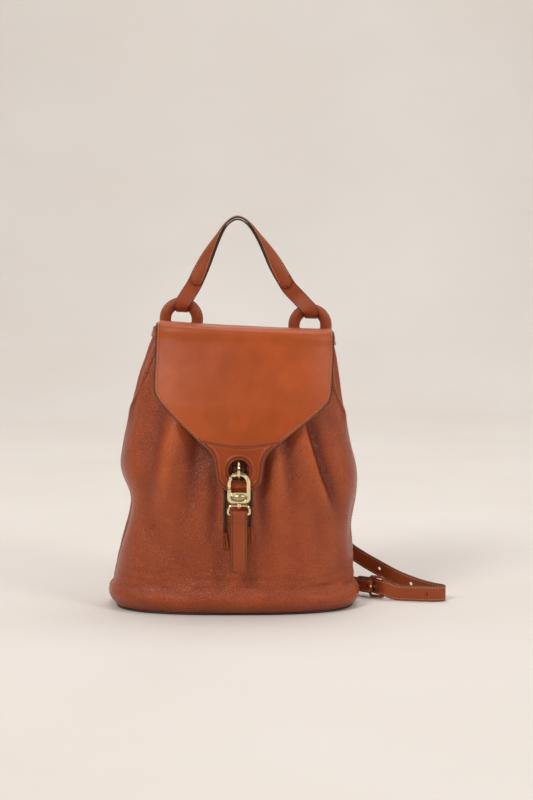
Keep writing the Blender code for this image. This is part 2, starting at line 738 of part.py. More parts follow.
def make_swivel():
    """The D-shaped eye below the hook, with its hub, and the rivet it turns on."""
    frame = Matrix.Translation((CLASP_X, CLASP_Y, 0.0))
    ring = loop_wire("swivel_eye", d_path(), D_WIRE, 8, "brass")
    middle = (SWIVEL_TOP + SWIVEL_LOW) / 2
    hub = turned("swivel_hub", [(0.0024, SWIVEL_LOW), (0.0037, middle - 0.0012), (0.0037, middle + 0.0012),
                                (0.0024, SWIVEL_TOP)], frame, 16, "brass")
    boolean(ring, hub, "UNION")
    axis = Vector((CLASP_X, CLASP_Y, middle))
    boolean(ring, cylinder_tool("swivel_bore", axis, (0, 0, 1), 0.0014, 0.012, 12))
    rivet = ((0.0014, SWIVEL_LOW - 0.0013), (0.0020, SWIVEL_LOW - GAP), (0.0010, SWIVEL_LOW - GAP),
             (0.0010, SWIVEL_TOP + GAP))
    turned("swivel_rivet", rivet, frame, 12, "brass")


def make_pull_strap():
    """Leather folded over the swivel eye's bar, both plies sewn together below."""
    width = 0.0200
    fold = STRAP_FOLD + 0.0019
    half = 0.0020
    bottom = 0.0525
    outline = [(-half, bottom), (half, bottom), (half, D_BAR_Z - 0.0100)]
    outline += arc((0, D_BAR_Z), fold, -25, 205, 14)
    outline += [(-half, D_BAR_Z - 0.0100)]
    turn = Matrix.Rotation(math.radians(90), 4, "Z")
    frame = Matrix.Translation((CLASP_X, CLASP_Y, 0.0)) @ turn
    strap = prism("pull_strap", outline, frame, width, "strap_leather")
    centre = Vector((CLASP_X, CLASP_Y, D_BAR_Z))
    boolean(strap, cylinder_tool("pull_strap_eye", centre, (1, 0, 0), STRAP_FOLD, width + 0.01, 14))


# ---------------------------------------------------------------- rings and handle

CROWN_ANGLE = math.atan(CROWN_TILT)
RING_PLAY = 0.0012           # how far the hinge axes sit inside the rings' centre lines


def crown_frame():
    """The tilted frame of the rings: X along their common axis, origin between their centres."""
    return (Matrix.Translation((CROWN_LEAN + 0.0005, RING_Y, RING_Z))
            @ Matrix.Rotation(CROWN_ANGLE, 4, "Y"))


def make_rings():
    """Each ring is a steel core in a leather cover, whose seam is open round its outside."""
    steps = 20
    seam = 5.0
    bore = RING_CORE + 0.0008
    outline = arc((0, 0), RING_TUBE, seam, 360 - seam, 10)
    outline += arc((0, 0), bore, 360 - seam * 1.6, seam * 1.6, 7)
    core_outline = arc((0, 0), RING_CORE, 0, 300, 5)
    for side, sign in (("left", -1), ("right", 1)):
        frame = crown_frame() @ Matrix.Translation((sign * RING_HALF_SPACING, 0, 0))
        flat = frame @ Matrix.Rotation(math.radians(90), 4, "X")
        cover = [(RING_RADIUS + x, z) for x, z in outline]
        lathe("ring_cover_" + side, cover, flat, steps, "smooth_leather")
        core = [(RING_RADIUS + x, z) for x, z in core_outline]
        lathe("ring_core_" + side, core, flat, steps, "steel")


def fold_path(radius, spacing, reach, rise, steps=12):
    """A strap's way round a bar in the local YZ plane: down one side, under, and up the other.

    The plies start radius apart at the bar and close to spacing at the height reach.
    """
    ply = []
    for step in range(rise + 1):
        share = step / rise
        height = reach * (1.0 - share)
        ply.append((-mix(radius, spacing, smoothstep(0.0, 1.0, min(1.0, height / 0.020))), height))
    under = [(radius * math.cos(angle), radius * math.sin(angle))
             for angle in (math.pi + math.pi * step / steps for step in range(1, steps))]
    return ply + under + [(-y, z) for y, z in reversed(ply)]


CHAPE_WIDTH = 0.0150
CHAPE_THICK = 0.0018
CHAPE_FOLD = RING_TUBE + RING_PLAY + 0.0006 + CHAPE_THICK / 2


def make_ring_chapes():
    """Leather folded over the bottom of each ring, both plies lying down the back panel."""
    for side, sign in (("left", -1), ("right", 1)):
        frame = (crown_frame() @ Matrix.Translation((sign * RING_HALF_SPACING, 0, -RING_RADIUS + RING_PLAY))
                 @ Matrix.Rotation(math.radians(180), 4, "X"))
        path = []
        for y, z in fold_path(CHAPE_FOLD, CHAPE_THICK / 2 + 0.0002, 0.044, 6):
            pull = 0.0105 * smoothstep(0.0, 0.030, z)
            path.append(frame @ Vector((0, y + pull, z)))
        across = [frame.to_3x3() @ Vector((1, 0, 0))] * len(path)
        ribbon("ring_chape_" + side, path, across, CHAPE_WIDTH, CHAPE_THICK, "strap_leather")


HANDLE_WIDTH = 0.0190
HANDLE_NECK = 0.0150         # width where the strap passes through a ring
HANDLE_THICK = 0.0018
OVERLAY_THICK = 0.0016
HANDLE_FOLD = RING_TUBE + RING_PLAY + 0.0006 + HANDLE_THICK / 2
HANDLE_REACH = 0.0180        # how far up the leg the folded end comes
# Centre line of the handle in X and Z, from the left leg over the top to the right leg.
HANDLE_ROUTE = ((-0.0505, 0.3830), (-0.0408, 0.4030), (-0.0310, 0.4220), (-0.0205, 0.4405),
                (-0.0095, 0.4565), (0.0030, 0.4640), (0.0160, 0.4570), (0.0295, 0.4400),
                (0.0412, 0.4220), (0.0530, 0.4020), (0.0662, 0.3800))


def handle_fold(sign):
    """The handle's way round one ring, from its front ply to the end of its back ply."""
    axis = crown_frame() @ Vector((sign * RING_HALF_SPACING, 0, RING_RADIUS - RING_PLAY))
    x, z = HANDLE_ROUTE[0] if sign < 0 else HANDLE_ROUTE[-1]
    lean = math.atan2(x - axis.x, z - axis.z)
    path = []
    across = []
    width = []
    for y, height in fold_path(HANDLE_FOLD, HANDLE_THICK / 2 + 0.0002, HANDLE_REACH, 6):
        share = smoothstep(-0.004, 0.020, height)
        aside = (x - axis.x) / (z - axis.z) * max(height, 0.0)
        path.append(Vector((axis.x + aside, axis.y + y, axis.z + height)))
        turn = mix(CROWN_ANGLE, lean, share)
        across.append(Vector((math.cos(turn), 0, -math.sin(turn))) * -sign)
        width.append(mix(HANDLE_NECK, HANDLE_WIDTH, smoothstep(-0.007, 0.003, height)))
    return path, across, width


def handle_line():
    """The arch between the folds: points and width directions, edge-on over the top."""
    y = RING_Y - HANDLE_THICK / 2 - 0.0002
    route = catmull([Vector((x, y, z)) for x, z in HANDLE_ROUTE], 0.0066)
    top = max(range(len(route)), key=lambda index: route[index].z)
    across = []
    for index in range(len(route)):
        ahead = route[min(index + 1, len(route) - 1)]
        behind = route[max(index - 1, 0)]
        along = (ahead - behind).normalized()
        inward = Vector((along.z, 0, -along.x))
        turn = math.radians(90) * (1.0 - smoothstep(0.05, 1.15, abs(index - top) / top))
        across.append(inward * math.cos(turn) + Vector((0, -1, 0)) * math.sin(turn))
    return route, across


def make_handle():
    """One strap that faces forward on its legs and turns edge-on over the top, folded round both rings."""
    left_path, left_across, left_width = handle_fold(-1)
    right_path, right_across, right_width = handle_fold(1)
    route, across = handle_line()
    path = left_path[::-1] + route + right_path
    sides = left_across[::-1] + across + right_across
    width = left_width[::-1] + [HANDLE_WIDTH] * len(route) + right_width
    ribbon("handle_strap", path, sides, width, HANDLE_THICK, "strap_leather")
    offset = HANDLE_THICK / 2 + OVERLAY_THICK / 2 + 0.0004
    over = []
    for index, point in enumerate(route):
        along = (route[min(index + 1, len(route) - 1)] - route[max(index - 1, 0)]).normalized()
        over.append(point - along.cross(across[index]).normalized() * offset)
    taper = [0.55, 0.90] + [0.97] * (len(route) - 4) + [0.90, 0.55]
    widths = [HANDLE_WIDTH * share for share in taper]
    ribbon("handle_overlay", over, across, widths, OVERLAY_THICK, "strap_leather")


# ---------------------------------------------------------------- shoulder straps

STRAP_REST_Z = STRAP_WIDTH / 2 + 0.0004
# The right strap: down the back, out to the floor beside the bag, and back to its buckle.
RIGHT_STRAP = ((0.0560, 0.0570, 0.2920), (0.0565, 0.0610, 0.2750), (0.0580, 0.0690, 0.2550),
               (0.0640, 0.0830, 0.2150), (0.0740, 0.0950, 0.1700), (0.0860, 0.1030, 0.1300),
               (0.1010, 0.1050, 0.0980), (0.1190, 0.0980, 0.0720), (0.1390, 0.0820, 0.0540),
               (0.1570, 0.0670, 0.0430), (0.1790, 0.0540, 0.0320), (0.2010, 0.0420, 0.0220),
               (0.2240, 0.0315, 0.0145), (0.2430, 0.0235, 0.0106), (0.2535, 0.0170, STRAP_REST_Z),
               (0.2550, 0.0090, STRAP_REST_Z), (0.2470, 0.0050, STRAP_REST_Z),
               (0.2330, 0.0052, STRAP_REST_Z), (0.2150, 0.0085, STRAP_REST_Z),
               (0.1960, 0.0140, STRAP_REST_Z))
# The left strap lies behind the bag.
LEFT_STRAP = ((-0.0340, 0.0570, 0.2920), (-0.0345, 0.0610, 0.2750), (-0.0360, 0.0700, 0.2550),
              (-0.0400, 0.0850, 0.2150), (-0.0440, 0.1010, 0.1700), (-0.0440, 0.1150, 0.1300),
              (-0.0390, 0.1290, 0.0950), (-0.0270, 0.1430, 0.0640), (-0.0080, 0.1570, 0.0380),
              (0.0160, 0.1660, 0.0200), (0.0420, 0.1680, 0.0112), (0.0630, 0.1640, STRAP_REST_Z),
              (0.0700, 0.1565, STRAP_REST_Z), (0.0650, 0.1490, STRAP_REST_Z),
              (0.0500, 0.1460, STRAP_REST_Z), (0.0300, 0.1440, STRAP_REST_Z),
              (0.0080, 0.1400, STRAP_REST_Z), (-0.0130, 0.1345, STRAP_REST_Z))
# Each buckle: centre of the bar that the lower strap holds, and the way to the far bar, in plan.
BUCKLES = {
    "right": (Vector((0.1660, 0.0315, 0.0145)), Vector((0.860, -0.510, 0.0))),
    "left": (Vector((-0.0440, 0.1250, 0.0145)), Vector((0.960, 0.280, 0.0))),
}
LOWER_STRAPS = {
    "right": ((0.0780, 0.0805, 0.0200), (0.1000, 0.0770, 0.0195), (0.1220, 0.0655, 0.0180),
              (0.1430, 0.0485, 0.0160)),
    "left": ((-0.1120, 0.0690, 0.0200), (-0.1010, 0.0850, 0.0190), (-0.0870, 0.1005, 0.0175),
             (-0.0680, 0.1135, 0.0160)),
}
LOWER_WIDTH = 0.0165
LOWER_THICK = 0.0020
BUCKLE_LENGTH = 0.0185       # between the centre lines of the two bars
BUCKLE_HEIGHT = 0.0240
BUCKLE_WIRE = 0.0017
PRONG_RADIUS = 0.0009
PRONG_EYE = BUCKLE_WIRE + 0.0004
BUCKLE_FAR = -(BUCKLE_WIRE + STRAP_THICK / 2 + 0.0006)
BUCKLE_NEAR = BUCKLE_WIRE + 0.0025 + STRAP_THICK / 2 + 0.0006


def buckle_frame(side):
    """X from the near bar to the far bar, Y out of the strap's face, Z up."""
    centre, along = BUCKLES[side]
    along = along.normalized()
    upright = Vector((0, 0, 1))
    face = upright.cross(along)
    turn = Matrix((along, face, upright)).transposed().to_4x4()
    return Matrix.Translation(centre) @ turn


def make_strap(side):
    """A shoulder strap; its lower end runs through the buckle and on past it as a loose tip."""
    route = [Vector(point) for point in (RIGHT_STRAP if side == "right" else LEFT_STRAP)]
    frame = buckle_frame(side)
    through = ((BUCKLE_LENGTH + 0.0050, BUCKLE_FAR), (BUCKLE_LENGTH - 0.0005, BUCKLE_FAR),
               (BUCKLE_LENGTH * 0.52, mix(BUCKLE_FAR, BUCKLE_NEAR, 0.46)), (0.0010, BUCKLE_NEAR),
               (-0.0060, BUCKLE_NEAR + 0.0006), (-0.0150, BUCKLE_NEAR + 0.0016),
               (-0.0260, BUCKLE_NEAR + 0.0034))
    for x, y in through:
        route.append(frame @ Vector((x, y, 0.0)))
    path = catmull(route, 0.0080)
    across = []
    for point in path:
        upright = smoothstep(0.190, 0.065, point.z)
        angle = math.radians(90) * upright
        across.append(Vector((-math.cos(angle), 0, math.sin(angle))))
    strap = ribbon("shoulder_strap_" + side, path, across, STRAP_WIDTH, STRAP_THICK, "strap_leather")
    upright = [Vector((0, 0, 1))] * 4
    boolean(strap, ribbon("prong_hole_" + side, prong_line(frame), upright, 0.0032, 0.0034, "steel"))
    hole_index = [index for index, point in enumerate(path) if point.z < 0.060]
    for number, index in enumerate(hole_index[2:-12:5]):
        normal = (path[index + 1] - path[index - 1]).cross(across[index])
        tool = cylinder_tool("strap_hole_%s_%d" % (side, number), path[index], normal, 0.0022, 0.010, 8)
        boolean(strap, tool)


def prong_line(frame):
    """The prong's shaft, from its eye on the near bar to its rest on the far bar."""
    lift = BUCKLE_WIRE + PRONG_RADIUS + 0.0004
    reach = BUCKLE_LENGTH + 0.0020
    return [frame @ Vector((x, y, 0)) for x, y in ((PRONG_EYE + 0.0006, 0.0), (reach * 0.5, lift * 0.5),
                                                   (BUCKLE_LENGTH - 0.002, lift), (reach, lift))]


def make_buckle(side):
    """The leather-covered frame, and the prong on its near bar."""
    frame = buckle_frame(side)
    outline = []
    high = BUCKLE_HEIGHT / 2
    corner = 0.0035
    corners = ((BUCKLE_LENGTH - corner, high - corner, 90), (BUCKLE_LENGTH - corner, -high + corner, 0),
               (corner, -high + corner, -90), (corner, high - corner, -180))
    for x, z, start in corners:
        outline += arc((x, z), corner, start, start - 90, 3)
    path = [frame @ Vector((x, 0, z)) for x, z in outline]
    loop_wire("buckle_frame_" + side, path, BUCKLE_WIRE, 8, "strap_leather")
    wall = 0.0012
    outline = [(PRONG_EYE, -wall), (PRONG_EYE + wall, -wall), (PRONG_EYE + wall, wall), (PRONG_EYE, wall)]
    prong = lathe("buckle_prong_" + side, outline, frame, 12, "brass")
    shaft = ribbon("prong_shaft_" + side, prong_line(frame), [Vector((0, 0, 1))] * 4, 0.0020,
                   PRONG_RADIUS * 2, "brass")
    boolean(prong, shaft, "UNION")


def make_lower_strap(side):
    """Sewn to the body's back corner; its far end folds round the buckle's near bar."""
    frame = buckle_frame(side)
    fold = BUCKLE_WIRE + 0.0005 + LOWER_THICK / 2
    path = [Vector(point) for point in LOWER_STRAPS[side]]
    path.append(frame @ Vector((-0.0120, -0.0012, 0.0)))
    path = catmull(path, 0.0090)
    path.append(frame @ Vector((-0.0045, -fold * 0.85, 0.0)))
    for step in range(9):
        angle = math.radians(-90 + 180 * step / 8)
        path.append(frame @ Vector((fold * math.cos(angle), fold * math.sin(angle), 0.0)))
    path.append(frame @ Vector((-0.0045, fold * 0.85, 0.0)))
    path.append(frame @ Vector((-0.0120, 0.0012, 0.0)))
    upright = [Vector((0, 0, 1))] * len(path)
    strap = ribbon("lower_strap_" + side, path, upright, LOWER_WIDTH, LOWER_THICK, "strap_leather")
    opening = ((-0.0026, -0.0017), (0.0060, -0.0017), (0.0060, 0.0017), (-0.0026, 0.0017))
    boolean(strap, prism("prong_slot_" + side, opening, frame, 0.012, "steel"))


# ---------------------------------------------------------------- joints

def make_joint_empties():
    """An empty on each joint's axis; what moves is parented to it."""
    crown = crown_frame()
    places = {
        "flap_hinge": (tilted((CROWN_LEAN, *FLAP_HINGE)),
                       ("flap", "flap_lining", "tab_overlay", "loop_ring")),
        "clasp_swing": (Vector((CLASP_X, CLASP_Y, HOOK_BAR_Z)), ("hook_body", "gate_pin", "swivel_rivet")),
        "gate_hinge": (Vector((CLASP_X - HOOK_WIDTH / 2 + HOOK_LIMB / 2, CLASP_Y, GATE_LOW - 0.0030)),
                       ("hook_gate",)),
        "swivel_turn": (Vector((CLASP_X, CLASP_Y, SWIVEL_LOW)), ("swivel_eye",)),
        "pull_strap_hinge": (Vector((CLASP_X, CLASP_Y, D_BAR_Z)), ("pull_strap",)),
        "ring_hinge_left": (crown @ Vector((-RING_HALF_SPACING, 0, -RING_RADIUS + RING_PLAY)),
                            ("ring_cover_left", "ring_core_left")),
        "ring_hinge_right": (crown @ Vector((RING_HALF_SPACING, 0, -RING_RADIUS + RING_PLAY)),
                             ("ring_cover_right", "ring_core_right")),
        "handle_hinge": (crown @ Vector((-RING_HALF_SPACING, 0, RING_RADIUS - RING_PLAY)),
                         ("handle_strap", "handle_overlay")),
    }
    for name, (place, members) in places.items():
        empty = bpy.data.objects.new(name, None)
        empty.location = place
        bpy.context.scene.collection.objects.link(empty)
        for member in members:
            child = bpy.data.objects[member]
            child.parent = empty
            child.matrix_parent_inverse = Matrix.Translation(-Vector(place))


def main():
    for old in list(bpy.data.objects):
        bpy.data.objects.remove(old, do_unlink=True)
    make_panels()
    make_base()
    make_lining()
    make_rim()
    make_eyelets()
    make_drawstring()
    make_cord_ends()
    make_flap()
    make_anchor_strip()
    make_front_chape()
    make_loop_ring()
    make_hook()
    make_swivel()
    make_pull_strap()
    make_rings()
    make_ring_chapes()
    make_handle()
    for side in ("left", "right"):
        make_strap(side)
        make_buckle(side)
        make_lower_strap(side)
    make_joint_empties()


main()
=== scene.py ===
"""Looks of the leather drawstring backpack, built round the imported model's frame.

Metres, +Z up, the bag's front towards -Y. The sections are: camera and stage, materials, mesh tools, cords,
body, flap, clasp, rings and handle, shoulder straps. Each piece stands where its CAD node is.
"""
import math

import bmesh
import bpy
import numpy as np
from mathutils import Matrix, Vector


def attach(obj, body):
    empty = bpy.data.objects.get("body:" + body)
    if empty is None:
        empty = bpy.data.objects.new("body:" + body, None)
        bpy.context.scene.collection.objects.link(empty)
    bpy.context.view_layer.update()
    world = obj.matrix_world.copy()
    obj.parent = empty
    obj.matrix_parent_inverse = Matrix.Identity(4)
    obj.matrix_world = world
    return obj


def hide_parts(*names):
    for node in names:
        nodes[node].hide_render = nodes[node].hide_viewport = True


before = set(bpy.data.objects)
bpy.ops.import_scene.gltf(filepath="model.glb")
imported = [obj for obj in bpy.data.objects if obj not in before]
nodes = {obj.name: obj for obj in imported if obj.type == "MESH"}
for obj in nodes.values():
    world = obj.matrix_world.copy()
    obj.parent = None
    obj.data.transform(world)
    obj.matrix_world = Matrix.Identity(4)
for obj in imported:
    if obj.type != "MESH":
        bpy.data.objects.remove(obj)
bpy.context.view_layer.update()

# ---------------------------------------------------------------- shared dimensions, as in the CAD

GAP = 0.0003
LEATHER = 0.0020
# Height, left, right, front and back of the body's outer face.
BODY_STATIONS = np.array((
    (0.0033, -0.1430, 0.1435, -0.0760, 0.0760), (0.0110, -0.1492, 0.1495, -0.0835, 0.0820),
    (0.0190, -0.1516, 0.1500, -0.0850, 0.0830), (0.0280, -0.1470, 0.1440, -0.0815, 0.0800),
    (0.0400, -0.1431, 0.1415, -0.0795, 0.0785), (0.0650, -0.1385, 0.1415, -0.0785, 0.0770),
    (0.0980, -0.1300, 0.1390, -0.0785, 0.0755), (0.1300, -0.1250, 0.1450, -0.0785, 0.0740),
    (0.1560, -0.1358, 0.1473, -0.0790, 0.0725), (0.1720, -0.1383, 0.1447, -0.0785, 0.0710),
    (0.2050, -0.1325, 0.1385, -0.0755, 0.0680), (0.2400, -0.1245, 0.1345, -0.0690, 0.0635),
    (0.2750, -0.1145, 0.1275, -0.0590, 0.0570), (0.3050, -0.1020, 0.1225, -0.0500, 0.0525),
    (0.3280, -0.0945, 0.1185, -0.0460, 0.0500)))
BODY_POWER = 2.6
BASE_Z = BODY_STATIONS[0, 0]
RIM_Z = BODY_STATIONS[-1, 0]
CROWN_LEAN = 0.0125
CROWN_TILT = 0.050
CROWN_Z = 0.330
EYELET_TURN = math.radians(9.0)
EYELET_Z = 0.2990
CLASP_X = 0.0070
HOLE_Z = 0.1720
HOLE_RADIUS = 0.0125

# ---------------------------------------------------------------- camera and stage


def aimed(name, data, place, target):
    """Links an object that looks from a place at a target."""
    made = bpy.data.objects.new(name, data)
    bpy.context.scene.collection.objects.link(made)
    made.location = place
    made.rotation_euler = (Vector(target) - Vector(place)).to_track_quat("-Z", "Y").to_euler()
    return made


def area_light(name, place, target, size, power, colour):
    light = bpy.data.lights.new(name, "AREA")
    light.shape = "DISK"
    light.size = size
    light.energy = power
    light.color = colour
    return aimed(name, light, place, target)


def make_camera():
    lens = bpy.data.cameras.new("photo_camera")
    lens.lens = 76.9
    lens.sensor_width = 36.0
    camera = bpy.data.objects.new("photo_camera", lens)
    bpy.context.scene.collection.objects.link(camera)
    camera.location = (0.0387, -2.043, 0.416)
    camera.rotation_euler = (math.radians(90.0 - 4.75), 0.0, 0.0)
    bpy.context.scene.camera = camera
    bpy.context.scene.view_settings.view_transform = "Standard"


def make_stage():
    """A pale floor that curves up into the backdrop, soft lights and a bright world."""
    area_light("key_light", (-2.6, -3.6, 3.6), (0.0, 0.0, 0.18), 1.8, 128.0, (1.0, 0.97, 0.93))
    area_light("fill_light", (3.2, -2.6, 2.4), (0.0, 0.0, 0.15), 1.6, 56.0, (1.0, 0.98, 0.96))
    area_light("back_light", (0.3, 1.2, 3.4), (0.0, 2.6, 0.75), 2.6, 46.0, (1.0, 0.98, 0.96))
    world = bpy.data.worlds.new("studio")
    bpy.context.scene.world = world
    world.use_nodes = True
    tree = world.node_tree
    place = tree.nodes.new("ShaderNodeTexCoord")
    height = tree.nodes.new("ShaderNodeVectorMath")
    height.operation = "DOT_PRODUCT"
    height.inputs[1].default_value = (0.0, 0.50, 0.60)
    ramp = tree.nodes.new("ShaderNodeValToRGB")
    tree.links.new(place.outputs["Generated"], height.inputs[0])
    tree.links.new(height.outputs["Value"], ramp.inputs["Fac"])
    tree.links.new(ramp.outputs["Color"], tree.nodes["Background"].inputs["Color"])
    elements = ramp.color_ramp.elements
    elements[0].position, elements[0].color = 0.0, (0.20, 0.192, 0.185, 1.0)
    elements[1].position, elements[1].color = 0.50, (1.0, 0.965, 0.93, 1.0)
    tree.nodes["Background"].inputs["Strength"].default_value = 0.78
    bend_start = 2.2
    bend = 1.6
    profile = [(-6.0, 0.0), (bend_start, 0.0)]
    profile += [(bend_start + bend * math.sin(a), bend - bend * math.cos(a))
                for a in (math.radians(6 * step) for step in range(1, 16))]
    profile.append((bend_start + bend, 6.0))
    points = [(x, y, z) for x in (-7.0, 7.0) for y, z in profile]
    count = len(profile)
    faces = [(step, step + 1, step + 1 + count, step + count) for step in range(count - 1)]
    mesh = bpy.data.meshes.new("backdrop")
    mesh.from_pydata(points, [], faces)
    mesh.shade_smooth()
    backdrop = bpy.data.objects.new("backdrop", mesh)
    bpy.context.scene.collection.objects.link(backdrop)
    mesh.materials.append(paper_material())


# ---------------------------------------------------------------- materials


class Shader:
    """A Principled material and short calls that add nodes to it."""

    def __init__(self, name, roughness=0.5, metallic=0.0):
        self.material = bpy.data.materials.new(name)
        self.material.use_nodes = True
        self.tree = self.material.node_tree
        self.principled = self.tree.nodes["Principled BSDF"]
        self.principled.inputs["Roughness"].default_value = roughness
        self.principled.inputs["Metallic"].default_value = metallic
        self.place = self.add("ShaderNodeTexCoord").outputs["Object"]

    def add(self, kind, inputs=(), **settings):
        node = self.tree.nodes.new(kind)
        for key, value in settings.items():
            setattr(node, key, value)
        for key, value in dict(inputs).items():
            if isinstance(value, bpy.types.NodeSocket):
                self.tree.links.new(value, node.inputs[key])
            else:
                node.inputs[key].default_value = value
        return node

    def noise(self, scale, detail=3.0, roughness=0.55, place=None):
        node = self.add("ShaderNodeTexNoise", {"Scale": scale, "Detail": detail, "Roughness": roughness,
                                               "Vector": place or self.place})
        return node.outputs["Fac"]

    def warped(self, amount, scale):
        """Object coordinates pushed about by noise, which makes cells irregular."""
        push = self.add("ShaderNodeTexNoise", {"Scale": scale, "Detail": 1.0, "Vector": self.place})
        scaled = self.add("ShaderNodeVectorMath", {0: push.outputs["Color"], 1: (amount,) * 3},
                          operation="MULTIPLY")
        moved = self.add("ShaderNodeVectorMath", {0: self.place, 1: scaled.outputs[0]}, operation="ADD")
        return moved.outputs[0]

    def cells(self, scale, place, feature="SMOOTH_F1"):
        node = self.add("ShaderNodeTexVoronoi", {"Scale": scale, "Vector": place}, feature=feature)
        return node.outputs["Distance"]

    def ramp(self, value, stops):
        node = self.add("ShaderNodeValToRGB", {"Fac": value})
        elements = node.color_ramp.elements
        elements[0].position, elements[0].color = stops[0][0], (*stops[0][1], 1.0)
        elements[1].position, elements[1].color = stops[-1][0], (*stops[-1][1], 1.0)
        for position, colour in stops[1:-1]:
            elements.new(position).color = (*colour, 1.0)
        return node.outputs["Color"]

    def range(self, value, low, high, new_low, new_high):
        node = self.add("ShaderNodeMapRange", {"Value": value, "From Min": low, "From Max": high,
                                               "To Min": new_low, "To Max": new_high})
        return node.outputs["Result"]

    def mixed(self, blend, share, first, second):
        node = self.add("ShaderNodeMix", data_type="RGBA", blend_type=blend)
        for socket, value in ((node.inputs[0], share), (node.inputs[6], first), (node.inputs[7], second)):
            if isinstance(value, bpy.types.NodeSocket):
                self.tree.links.new(value, socket)
            else:
                socket.default_value = value if socket == node.inputs[0] else (*value, 1.0)
        return node.outputs[2]

    def sum(self, *terms):
        """Adds value * weight pairs."""
        total = None
        for value, weight in terms:
            part = self.add("ShaderNodeMath", {0: value, 1: weight}, operation="MULTIPLY").outputs[0]
            total = part if total is None else self.add("ShaderNodeMath", {0: total, 1: part}).outputs[0]
        return total

    def attribute(self, name):
        return self.add("ShaderNodeAttribute", attribute_name=name).outputs["Fac"]

    def bump(self, height, strength, distance, under=None):
        inputs = {"Height": height, "Strength": strength, "Distance": distance}
        if under is not None:
            inputs["Normal"] = under
        return self.add("ShaderNodeBump", inputs).outputs["Normal"]

    def finish(self, colour=None, normal=None, roughness=None, **constants):
        for socket, value in (("Base Color", colour), ("Normal", normal), ("Roughness", roughness)):
            if isinstance(value, bpy.types.NodeSocket):
                self.tree.links.new(value, self.principled.inputs[socket])
            elif value is not None:
                self.principled.inputs[socket].default_value = (*value, 1.0)
        for key, value in constants.items():
            self.principled.inputs[key.replace("_", " ")].default_value = value
        return self.material


def shaded(colour, share):
    return tuple(channel * share for channel in colour)


def leather_material(name, colour, pebble, cell, grain_depth, gloss, shine=0.30):
    """Leather: irregular pebbles over fine pores, patchy colour, varied gloss, and painted shade and highlights.

    pebble is the number of cells per metre, cell their darkening. The mesh's fold attribute paints shade (darker)
    and highlights (lighter, paler), and its wear_and_highlight attribute lightens for wear and painted highlights.
    """
    made = Shader(name)
    place = made.warped(0.0011, 260.0)
    pebbles = made.cells(pebble, place)
    pores = made.noise(pebble * 3.2, 2.0)
    cloud = made.noise(9.0, 4.0)
    mottle = made.noise(46.0, 4.0)
    tone = made.ramp(cloud, ((0.30, shaded(colour, 0.90)), (0.52, colour), (0.75, shaded(colour, 1.08))))
    speck = made.ramp(mottle, ((0.35, (0.90, 0.88, 0.86)), (0.65, (1.06, 1.05, 1.04))))
    tone = made.mixed("MULTIPLY", 0.8, tone, speck)
    valley = made.ramp(pebbles, ((0.25, (1.0, 1.0, 1.0)), (0.75, (1.0 - cell,) * 3)))
    tone = made.mixed("MULTIPLY", 1.0, tone, valley)
    # The fold attribute paints light into the colour: low values are painted shade in valleys, grooves and seams, high
    # values a pale painted highlight on ridges.
    crease = made.range(made.attribute("fold"), -1.0, 1.0, 0.0, 1.0)
    shade = made.ramp(crease, ((0.0, (0.58, 0.46, 0.42)), (0.32, (0.88, 0.82, 0.80)), (0.5, (1.0, 1.0, 1.0)), (1.0, (1.24, 1.36, 1.46))))
    tone = made.mixed("MULTIPLY", 1.0, tone, shade)
    # Lighter and paler where wear_and_highlight is high: real wear, and painted highlights on the roll and the tab's
    # piping.
    wear_and_highlight = made.ramp(made.attribute("wear_and_highlight"), ((0.0, (1.0, 1.0, 1.0)), (1.0, (1.28, 1.36, 1.42))))
    tone = made.mixed("MULTIPLY", 1.0, tone, wear_and_highlight)
    height = made.sum((pebbles, -1.0), (pores, 0.22), (mottle, 0.35))
    normal = made.bump(height, grain_depth, 0.0009)
    rough = made.range(made.sum((cloud, 0.5), (pebbles, 0.5)), 0.2, 0.8, gloss - 0.07, gloss + 0.12)
    return made.finish(tone, normal, rough, Specular_IOR_Level=shine)


def edge_material():
    made = Shader("edge_paint")
    tone = made.ramp(made.noise(120.0), ((0.3, (0.020, 0.011, 0.008)), (0.7, (0.050, 0.026, 0.018))))
    normal = made.bump(made.noise(600.0, 2.0), 0.35, 0.0004)
    return made.finish(tone, normal, made.range(made.noise(90.0), 0.2, 0.8, 0.36, 0.55))


def thread_material(name, dark, light):
    made = Shader(name)
    twist = made.add("ShaderNodeTexWave", {"Scale": 900.0, "Distortion": 1.5, "Vector": made.place},
                     bands_direction="DIAGONAL").outputs["Fac"]
    tone = made.ramp(made.sum((twist, 0.6), (made.noise(60.0), 0.4)),
                     ((0.2, dark), (0.8, light)))
    return made.finish(tone, made.bump(twist, 0.5, 0.0002), made.range(twist, 0.0, 1.0, 0.55, 0.75))


def fabric_material(name, colour):
    """A plain weave: two crossed sets of threads."""
    made = Shader(name)
    waves = [made.add("ShaderNodeTexWave", {"Scale": 420.0, "Distortion": 0.6, "Detail": 1.0,
                                            "Vector": made.place}, bands_direction=axis).outputs["Fac"]
             for axis in ("X", "Y", "Z")]
    weave = made.sum((waves[0], 0.34), (waves[1], 0.33), (waves[2], 0.33))
    cloud = made.noise(22.0, 4.0)
    tone = made.ramp(made.sum((weave, 0.5), (cloud, 0.5)),
                     ((0.25, shaded(colour, 0.72)), (0.75, shaded(colour, 1.18))))
    return made.finish(tone, made.bump(weave, 0.45, 0.0004), made.range(cloud, 0.2, 0.8, 0.78, 0.92),
                       Sheen_Weight=0.25, Sheen_Roughness=0.5)


